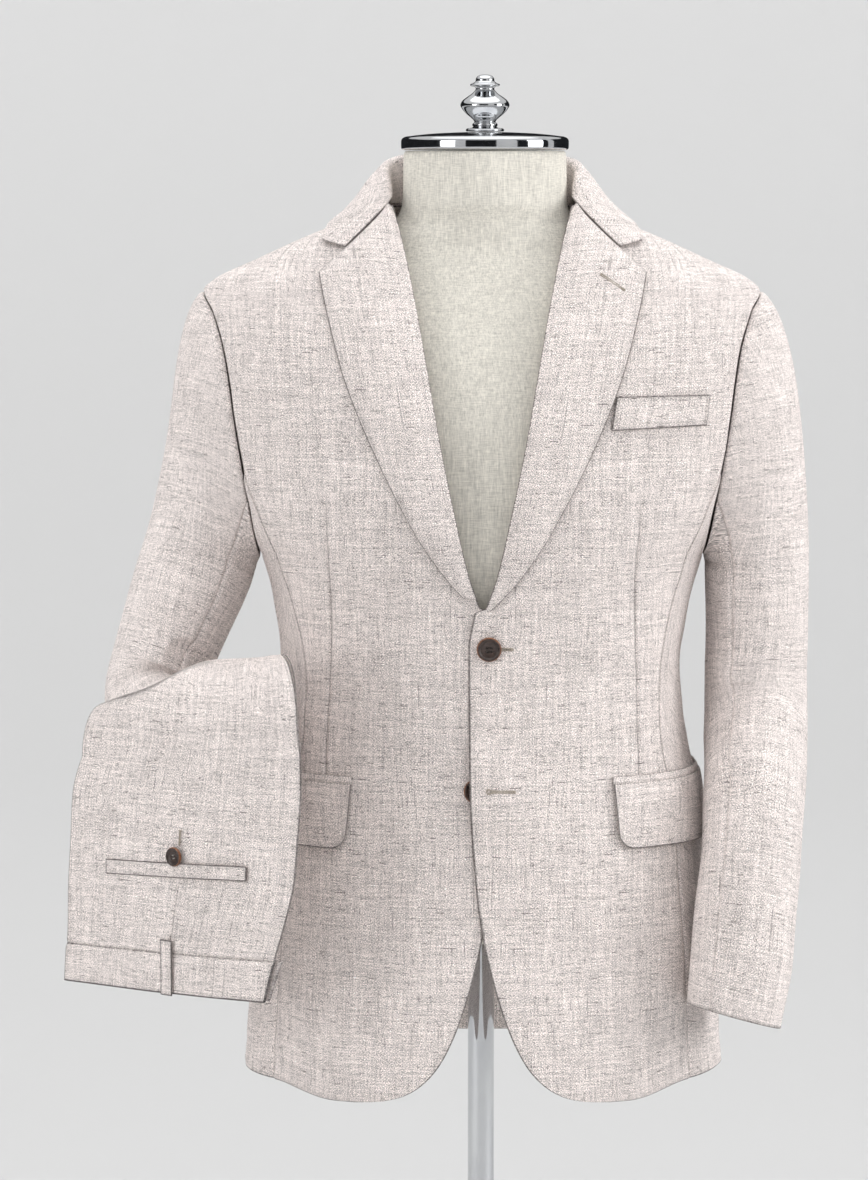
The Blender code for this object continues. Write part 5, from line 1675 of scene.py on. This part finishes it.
def lofted(sections):
    """Points and faces of a closed form from (level, wide, front, back, power, shift) sections."""
    points, rings = [], []
    for level, wide, front, back, power, shift in sections:
        rings.append(len(points))
        for k in range(TORSO_STEPS):
            angle = 2 * math.pi * k / TORSO_STEPS
            s, c = math.sin(angle), math.cos(angle)
            x = math.copysign(wide * abs(s) ** power, s) + shift
            y = -math.copysign((front if c > 0 else back) * abs(c) ** power, c)
            points.append([x, y, level])
    faces = []
    for low, high in zip(rings, rings[1:]):
        for k in range(TORSO_STEPS):
            n = (k + 1) % TORSO_STEPS
            faces.append([low + k, high + k, high + n, low + n])
    for ring in (rings[0], rings[-1]):
        centre = len(points)
        points.append(list(np.mean(points[ring : ring + TORSO_STEPS], axis=0)))
        for k in range(TORSO_STEPS):
            n = (k + 1) % TORSO_STEPS
            faces.append([ring + k, ring + n, centre] if ring == rings[0] else [ring + n, ring + k, centre])
    return np.array(points), faces_facing_out(np.array(points), faces)


def form_torso(cover):
    low, high = 0.752, 1.4068
    sections = []
    for level in low + (high - low) * spread(high - low, 0.005, True, True, 0.0008, 0.03):
        wide, front, back = (float(at(FORM, name, level)) for name in ("wide", "front", "back"))
        power = 2 / (2.0 + 0.25 * float(ramp(level, 1.36, 1.28)))
        shift = NECK_CENTRE[0] * float(ramp(level, 1.30, 1.37))
        rolled = 0.0020 * math.exp(-((high - level) / 0.0012)) + 0.004 * math.exp(-((level - low) / 0.002))
        sections.append((level, wide - rolled, front - rolled, back - rolled, power, shift))
    points, faces = lofted(sections)
    middle = np.array([0.0, 0.0, 0.0])
    flat = points - middle
    around = np.arctan2(flat[:, 0], -flat[:, 1])
    for seam in (math.pi / 2, -math.pi / 2, math.pi):
        turned_by = np.abs(np.angle(np.exp(1j * (around - seam))))
        away = turned_by * np.hypot(flat[:, 0], flat[:, 1])
        dip = 0.0010 * np.exp(-((away / 0.0022) ** 2))
        inward = flat * np.array([1.0, 1.0, 0.0])
        far = np.maximum(np.linalg.norm(inward, axis=1, keepdims=True), 1e-6)
        points = points - inward / far * dip[:, None]
    piece("form_cover", points, faces, cover, ["form_torso"])


def form_fittings(chrome):
    made = {
        "cap": (
            (
                (0, 1.4075), (0.0660, 1.4075), (0.0684, 1.4077), (0.0697, 1.4088), (0.0700, 1.4105),
                (0.0700, 1.4148), (0.0693, 1.4168), (0.0672, 1.4182), (0.0620, 1.4191), (0.0500, 1.4205),
                (0.0250, 1.4220), (0, 1.4226),
            ),
            NECK_CENTRE, 128, "form_cap",
        ),
        "finial": (
            (
                (0, 1.4229), (0.0152, 1.4229), (0.0160, 1.4238), (0.0155, 1.4250), (0.0112, 1.4259),
                (0.0098, 1.4268), (0.0106, 1.4280), (0.0104, 1.4292), (0.0088, 1.4306), (0.0092, 1.4318),
                (0.0118, 1.4344), (0.0155, 1.4374), (0.0190, 1.4415), (0.0205, 1.4446), (0.0194, 1.4476),
                (0.0150, 1.4514), (0.0100, 1.4550), (0.0077, 1.4585), (0.0088, 1.4601), (0.0120, 1.4607),
                (0.0124, 1.4618), (0.0102, 1.4629), (0.0079, 1.4645), (0.0077, 1.4664), (0.0060, 1.4688),
                (0.0030, 1.4698), (0, 1.4700),
            ),
            NECK_CENTRE, 72, "form_finial",
        ),
        "flange": (
            (
                (0, 0.7455), (0.0395, 0.7455), (0.0410, 0.7467),
                (0.0410, 0.7503), (0.0395, 0.7515), (0, 0.7515),
            ),
            (0, 0, 0), 96, "form_flange",
        ),
        "pole": (
            (
                (0, 0.0303), (0.0104, 0.0303), (0.0112, 0.0313), (0.0112, 0.20), (0.0112, 0.38),
                (0.0112, 0.56), (0.0112, 0.7442), (0.0104, 0.7452), (0, 0.7452),
            ),
            (0, 0, 0), 64, "form_pole",
        ),
        "base": (
            (
                (0, 0), (0.1760, 0), (0.1780, 0.0002), (0.1800, 0.0020), (0.1800, 0.0060), (0.1792, 0.0076),
                (0.1770, 0.0090), (0.1680, 0.0105), (0.1000, 0.0122), (0.0300, 0.0140), (0.0215, 0.0148),
                (0.0192, 0.0168), (0.0190, 0.0275), (0.0182, 0.0294), (0.0170, 0.0300), (0, 0.0300),
            ),
            (0, 0, 0), 160, "form_base",
        ),
    }
    for word, (profile, origin, steps, node) in made.items():
        points, faces = lathe_mesh(profile, steps, 1 if word in ("pole", "flange") else 3)
        obj = piece(f"stand_{word}", points + np.array(origin), faces, chrome, [node])
        obj.data.set_sharp_from_angle(angle=math.radians(38))


class Nodes:
    """Short ways to make a material's nodes."""

    def __init__(self, name):
        self.material = bpy.data.materials.new(name)
        self.material.use_nodes = True
        self.tree = self.material.node_tree
        self.shader = self.tree.nodes["Principled BSDF"]

    def link(self, value, socket):
        if isinstance(value, bpy.types.NodeSocket):
            self.tree.links.new(value, socket)
        else:
            socket.default_value = value

    def cloth(self):
        node = self.tree.nodes.new("ShaderNodeAttribute")
        node.attribute_name = "cloth"
        return node.outputs["Vector"]

    def place(self):
        return self.tree.nodes.new("ShaderNodeTexCoord").outputs["Object"]

    def scaled(self, vector, size, shift=(0, 0, 0)):
        node = self.tree.nodes.new("ShaderNodeMapping")
        node.inputs["Scale"].default_value = size
        node.inputs["Location"].default_value = shift
        self.link(vector, node.inputs["Vector"])
        return node.outputs["Vector"]

    def noise(self, vector, detail, rough, distortion=0.0):
        node = self.tree.nodes.new("ShaderNodeTexNoise")
        node.inputs["Scale"].default_value = 1.0
        node.inputs["Detail"].default_value = detail
        node.inputs["Roughness"].default_value = rough
        node.inputs["Distortion"].default_value = distortion
        self.link(vector, node.inputs["Vector"])
        return node.outputs["Fac"]

    def math(self, kind, a, b=0.0, c=0.0):
        node = self.tree.nodes.new("ShaderNodeMath")
        node.operation = kind
        for value, socket in zip((a, b, c), node.inputs):
            self.link(value, socket)
        return node.outputs["Value"]

    def span(self, value, low, high, new_low=0.0, new_high=1.0):
        node = self.tree.nodes.new("ShaderNodeMapRange")
        node.interpolation_type = "SMOOTHSTEP"
        limits = {"From Min": low, "From Max": high, "To Min": new_low, "To Max": new_high}
        for name, number in limits.items():
            node.inputs[name].default_value = number
        self.link(value, node.inputs["Value"])
        return node.outputs["Result"]

    def blend(self, share, first, second):
        node = self.tree.nodes.new("ShaderNodeMix")
        node.data_type = "RGBA"
        self.link(share, node.inputs["Factor"])
        self.link(first, node.inputs["A"])
        self.link(second, node.inputs["B"])
        return node.outputs["Result"]

    def shade(self, colour, value):
        """A colour made lighter or darker by a value about 1."""
        node = self.tree.nodes.new("ShaderNodeVectorMath")
        node.operation = "SCALE"
        self.link(colour if isinstance(colour, bpy.types.NodeSocket) else colour[:3], node.inputs[0])
        self.link(value, node.inputs["Scale"])
        return node.outputs["Vector"]

    def bump(self, height, distance, strength):
        node = self.tree.nodes.new("ShaderNodeBump")
        node.inputs["Strength"].default_value = strength
        node.inputs["Distance"].default_value = distance
        self.link(height, node.inputs["Height"])
        self.link(node.outputs["Normal"], self.shader.inputs["Normal"])

    def set(self, name, value):
        self.link(value, self.shader.inputs[name])


THREAD = 0.00138        # from one thread of the linen to the next


class Weave:
    """The threads of a plain weave, from the places on the cloth."""

    def __init__(self, nodes, cloth):
        self.nodes, self.cloth = nodes, cloth
        self.wander = nodes.noise(nodes.scaled(cloth, (26.0, 26.0, 1.0)), 2.0, 0.5)
        split = nodes.tree.nodes.new("ShaderNodeSeparateXYZ")
        nodes.link(cloth, split.inputs["Vector"])
        self.axes = split.outputs["X"], split.outputs["Y"]
        self.waves = []
        for axis, push in zip(self.axes, (14.0, -11.0)):
            turn = nodes.math("MULTIPLY", axis, math.pi / THREAD)
            self.waves.append(nodes.math("SINE", nodes.math("MULTIPLY_ADD", self.wander, push, turn)))

    def thread(self, way, length, pitch, shift, detail=1.0):
        """Noise about 0 along each thread by itself, and how near the thread's middle a place is."""
        nodes = self.nodes
        along, across = self.axes[way], self.axes[1 - way]
        place = nodes.math("MULTIPLY_ADD", self.wander, 3.0, nodes.math("MULTIPLY", across, 1 / pitch))
        number = nodes.math("FLOOR", place)
        middle = nodes.math("PINGPONG", nodes.math("SUBTRACT", place, number), 0.5)
        join = nodes.tree.nodes.new("ShaderNodeCombineXYZ")
        run = nodes.math("MULTIPLY", along, 1 / length)
        nodes.link(nodes.math("MULTIPLY_ADD", number, 0.37, run), join.inputs["X"])
        nodes.link(nodes.math("MULTIPLY", number, 13.71), join.inputs["Y"])
        nodes.link(shift, join.inputs["Z"])
        value = nodes.math("SUBTRACT", nodes.noise(join.outputs["Vector"], detail, 0.6), 0.5)
        return value, nodes.span(middle, 0.02, 0.30)

    def spots(self, size, shift, detail, rough=0.5):
        nodes = self.nodes
        value = nodes.noise(nodes.scaled(self.cloth, size, shift), detail, rough)
        return nodes.math("SUBTRACT", value, 0.5)


def added(nodes, *parts):
    """Weighted sum of (weight, value) pairs."""
    total = 0.0
    for weight, value in parts:
        total = nodes.math("MULTIPLY_ADD", value, weight, total)
    return total


# Slubs of the linen: the way they run (0 weft, 1 warp), length, width, first and last of the noise that
# shows them, and how dark they are
SLUBS = (
    (0, 0.0105, 0.00105, 0.200, 0.240, 0.85),
    (0, 0.0200, 0.00110, 0.225, 0.260, 1.00),
    (0, 0.0036, 0.00110, 0.190, 0.235, 0.80),
    (1, 0.0090, 0.00105, 0.190, 0.235, 0.70),
    (1, 0.0400, 0.00110, 0.200, 0.245, 0.60),
)


GRAIN = 1.2             # strength of the linen's light and dark threads


def linen_material(name, light, dark):
    nodes = Nodes(name)
    cloth = nodes.cloth()
    weave = Weave(nodes, cloth)
    fine = added(
        nodes,
        (0.120, nodes.math("MULTIPLY", weave.waves[0], weave.waves[1])),
        (5.2, weave.spots((1350.0, 1350.0, 60.0), (0.3, 0.1, 0.0), 2.0, 0.8)),
        (0.50, weave.thread(0, 0.0060, 0.00105, 1.5)[0]),
        (0.45, weave.thread(1, 0.0060, 0.00105, 2.5)[0]),
        (0.60, weave.thread(0, 0.0420, 0.00120, 3.5, 2.0)[0]),
        (0.62, weave.thread(1, 0.0550, 0.00120, 4.5, 2.0)[0]),
    )
    broad = added(
        nodes,
        (0.13, weave.spots((10.0, 8.0, 1.0), (0.0, 0.0, 0.0), 2.0)),
        (0.12, weave.spots((120.0, 5.0, 1.0), (2.0, 0.0, 0.0), 2.0)),
        (0.11, weave.spots((6.0, 150.0, 1.0), (0.0, 6.0, 0.0), 2.0)),
    )
    shade = nodes.math("MULTIPLY_ADD", fine, GRAIN, nodes.math("ADD", broad, 1.0))
    marks = 0.0
    for k, (way, length, pitch, low, high, depth) in enumerate(SLUBS):
        value, middle = weave.thread(way, length, pitch, 7.5 + k)
        body = nodes.math("MULTIPLY", nodes.span(value, low, high, 0.0, depth), middle)
        broken = nodes.math("MULTIPLY", body, nodes.math("MULTIPLY_ADD", weave.waves[way], 0.25, 0.75))
        marks = nodes.math("MAXIMUM", broken, marks)
    # The seam attribute is painted shade: it darkens the linen by up to 0.8 in seams, along edges and rims
    # and beside the trousers.
    seam = nodes.tree.nodes.new("ShaderNodeAttribute")
    seam.attribute_name = "seam"
    shade = nodes.math("MULTIPLY", shade, nodes.math("MULTIPLY_ADD", seam.outputs["Fac"], -0.80, 1.0))
    colour = nodes.blend(marks, nodes.shade(light, shade), dark)
    nodes.set("Base Color", colour)
    nodes.set("Roughness", nodes.span(fine, -0.25, 0.25, 0.97, 0.86))
    nodes.set("Sheen Weight", 0.05)
    nodes.set("Specular IOR Level", 0.2)
    nodes.bump(nodes.math("MULTIPLY_ADD", marks, 0.4, fine), 0.0005, 0.30)
    return nodes.material


def cover_material():
    nodes = Nodes("form cover cloth")
    place = nodes.place()
    fine = nodes.noise(nodes.scaled(place, (1500.0, 1500.0, 160.0)), 2.0, 0.5)
    cross = nodes.noise(nodes.scaled(place, (150.0, 150.0, 1500.0)), 2.0, 0.5)
    wide = nodes.noise(nodes.scaled(place, (16.0, 16.0, 9.0)), 3.0, 0.5)
    slub = nodes.noise(nodes.scaled(place, (520.0, 520.0, 45.0)), 2.0, 0.6)
    thread = nodes.math("SUBTRACT", nodes.math("ADD", fine, cross), 1.0)
    thread = nodes.math("MULTIPLY_ADD", nodes.math("SUBTRACT", slub, 0.5), 0.9, thread)
    shade = nodes.math("MULTIPLY_ADD", thread, 0.65, 1.0)
    shade = nodes.math("ADD", shade, nodes.span(wide, 0.3, 0.7, -0.03, 0.03))
    nodes.set("Base Color", nodes.shade((0.735, 0.705, 0.635), shade))
    nodes.set("Roughness", nodes.span(fine, 0.3, 0.7, 0.95, 0.85))
    nodes.set("Specular IOR Level", 0.25)
    nodes.bump(thread, 0.0003, 0.5)
    return nodes.material


def horn_material():
    nodes = Nodes("button horn")
    place = nodes.cloth()
    split = nodes.tree.nodes.new("ShaderNodeSeparateXYZ")
    nodes.link(place, split.inputs["Vector"])
    x, y = split.outputs["X"], split.outputs["Y"]
    radius = nodes.math("SQRT", nodes.math("ADD", nodes.math("MULTIPLY", x, x), nodes.math("MULTIPLY", y, y)))
    mottle = nodes.noise(nodes.scaled(place, (2.2, 5.0, 2.0)), 3.0, 0.6, distortion=0.6)
    face = nodes.blend(nodes.span(mottle, 0.35, 0.65), (0.022, 0.012, 0.010, 1), (0.060, 0.036, 0.028, 1))
    rim = nodes.span(radius, 0.885, 0.955)
    tan = nodes.blend(nodes.span(mottle, 0.35, 0.65), (0.130, 0.040, 0.014, 1), (0.300, 0.120, 0.045, 1))
    nodes.set("Base Color", nodes.blend(rim, face, tan))
    nodes.set("Roughness", nodes.span(mottle, 0.3, 0.7, 0.26, 0.42))
    nodes.set("Coat Weight", 0.25)
    nodes.bump(mottle, 0.0001, 0.4)
    return nodes.material


def thread_material(name, colour):
    nodes = Nodes(name)
    place = nodes.place()
    twist = nodes.noise(nodes.scaled(place, (2600.0, 2600.0, 2600.0)), 2.0, 0.6)
    nodes.set("Base Color", nodes.shade(colour, nodes.span(twist, 0.3, 0.7, 0.80, 1.16)))
    nodes.set("Roughness", nodes.span(twist, 0.3, 0.7, 0.75, 0.55))
    nodes.bump(twist, 0.0001, 0.5)
    return nodes.material


def chrome_material():
    nodes = Nodes("polished chrome")
    place = nodes.place()
    smear = nodes.noise(nodes.scaled(place, (30.0, 30.0, 14.0)), 3.0, 0.55)
    tone = nodes.blend(nodes.span(smear, 0.3, 0.7), (0.56, 0.57, 0.59, 1), (0.64, 0.65, 0.66, 1))
    nodes.set("Base Color", tone)
    nodes.set("Metallic", 1.0)
    nodes.set("Roughness", nodes.span(smear, 0.3, 0.7, 0.045, 0.10))
    nodes.bump(smear, 0.0001, 0.10)
    return nodes.material


def screen_material():
    nodes = Nodes("dark screen")
    nodes.set("Base Color", (0.020, 0.021, 0.023, 1))
    nodes.set("Roughness", 1.0)
    nodes.set("Specular IOR Level", 0.0)
    return nodes.material


def studio_paint():
    """Matt paint that is a little lighter on the wall, which gets less light than the floor."""
    nodes = Nodes("studio paint")
    split = nodes.tree.nodes.new("ShaderNodeSeparateXYZ")
    nodes.link(nodes.place(), split.inputs["Vector"])
    shade = nodes.span(split.outputs["Z"], 0.0, 2.5, 0.565, 0.650)
    nodes.set("Base Color", nodes.shade((1.0, 1.0, 1.0), shade))
    nodes.set("Roughness", 1.0)
    nodes.set("Specular IOR Level", 0.0)
    nodes.set("Emission Color", (1, 1, 1, 1))
    nodes.set("Emission Strength", STUDIO_GLOW)
    return nodes.material


def studio():
    """A pale floor that curves up into a pale wall all round, dark screens for the chrome, and soft light."""
    profile = [(0.0, 0.0), (ROOM_FLAT, 0.0)]
    for t in np.linspace(0.1, math.pi / 2, 14):
        profile.append((ROOM_FLAT + ROOM_CURVE * math.sin(t), ROOM_CURVE - ROOM_CURVE * math.cos(t)))
    profile += [(ROOM_FLAT + ROOM_CURVE, ROOM_HEIGHT)]
    points, faces = [[0, 0, 0]], []
    for radius, height in profile[1:]:
        base = len(points)
        for k in range(ROOM_STEPS):
            angle = 2 * math.pi * k / ROOM_STEPS
            points.append([radius * math.cos(angle), radius * math.sin(angle), height])
        for k in range(ROOM_STEPS):
            n = (k + 1) % ROOM_STEPS
            if base == 1:
                faces.append([0, 1 + k, 1 + n])
            else:
                faces.append([base - ROOM_STEPS + k, base + k, base + n, base - ROOM_STEPS + n])
    mesh = bpy.data.meshes.new("studio")
    mesh.from_pydata(points, [], faces)
    mesh.shade_smooth()
    mesh.materials.append(studio_paint())
    room = bpy.data.objects.new("studio", mesh)
    bpy.context.scene.collection.objects.link(room)
    dark = screen_material()
    for k, (first, last) in enumerate(SCREENS):
        turns = np.radians(np.linspace(first, last, 24))
        ring = [(SCREEN_RADIUS * math.sin(t), -SCREEN_RADIUS * math.cos(t)) for t in turns]
        points = [(x, y, z) for z in SCREEN_LEVELS for x, y in ring]
        mesh = bpy.data.meshes.new(f"screen_{k}")
        mesh.from_pydata(points, [], [[i, i + 1, i + 25, i + 24] for i in range(23)])
        mesh.materials.append(dark)
        screen = bpy.data.objects.new(f"screen_{k}", mesh)
        screen.visible_camera = screen.visible_diffuse = screen.visible_shadow = False
        bpy.context.scene.collection.objects.link(screen)
    for name, place, target, size, power in LAMPS:
        lamp = bpy.data.lights.new(name, "AREA")
        lamp.shape = "RECTANGLE"
        lamp.size, lamp.size_y = size
        lamp.energy = power
        obj = bpy.data.objects.new(name, lamp)
        obj.location = place
        aim = Vector(target) - Vector(place)
        obj.rotation_mode = "QUATERNION"
        obj.rotation_quaternion = aim.to_track_quat("-Z", "Y")
        obj.visible_camera = False
        bpy.context.scene.collection.objects.link(obj)
    world = bpy.data.worlds.new("studio air")
    world.use_nodes = True
    world.node_tree.nodes["Background"].inputs["Color"].default_value = (1, 1, 1, 1)
    world.node_tree.nodes["Background"].inputs["Strength"].default_value = WORLD_LIGHT
    bpy.context.scene.world = world


ROOM_FLAT, ROOM_CURVE, ROOM_HEIGHT, ROOM_STEPS = 6.4, 4.8, 14.4, 96
SCREEN_RADIUS, SCREEN_LEVELS = 4.6, (0.35, 3.4)
STUDIO_GLOW = 0.035
WORLD_LIGHT = 1.95
LAMPS = (
    ("key", (2.6, -0.8, 1.6), (0.0, 0.0, 1.0), (1.2, 1.6), 31.0),
    ("fill", (-2.9, -2.2, 1.5), (0.0, 0.0, 1.0), (1.4, 1.8), 25.0),
)
# Turns, in degrees from the front, of the dark screens that only polished metal reflects
SCREENS = ((-27, 15), (44, 96), (108, 306))


CAMERA_PLACE, CAMERA_AIM, LENS = (-0.040, -3.6, 1.388), (-0.040, 0.0, 1.038), 130.7


def view_from_front():
    camera = bpy.data.cameras.new("camera")
    camera.lens = LENS
    camera.sensor_width = 36.0
    camera.clip_start, camera.clip_end = 0.05, 60.0
    obj = bpy.data.objects.new("camera", camera)
    obj.location = CAMERA_PLACE
    aim = Vector(CAMERA_AIM) - obj.location
    obj.rotation_mode = "QUATERNION"
    obj.rotation_quaternion = aim.to_track_quat("-Z", "Y")
    bpy.context.scene.collection.objects.link(obj)
    bpy.context.scene.camera = obj
    bpy.context.scene.view_settings.view_transform = "Standard"


def main():
    linen = linen_material("natural linen", (0.730, 0.665, 0.640, 1), (0.100, 0.080, 0.072, 1))
    cover = cover_material()
    horn = horn_material()
    thread = thread_material("buttonhole thread", (0.400, 0.350, 0.290, 1))
    dark_thread = thread_material("dark thread", (0.030, 0.018, 0.014, 1))
    seam_thread = thread_material("seam thread", (0.420, 0.380, 0.350, 1))
    chrome = chrome_material()
    fronts(linen)
    side_panels(linen)
    backs(linen)
    lapels(linen)
    collars(linen)
    sleeves(linen)
    breast_pocket(linen, seam_thread)
    hip_pockets(linen)
    front_buttons(horn, dark_thread)
    buttonholes(thread)
    trouser_seat(linen)
    trouser_parts(linen, thread, seam_thread, horn)
    folded_legs(linen)
    form_torso(cover)
    form_fittings(chrome)
    studio()
    view_from_front()


main()
bpy.context.view_layer.update()
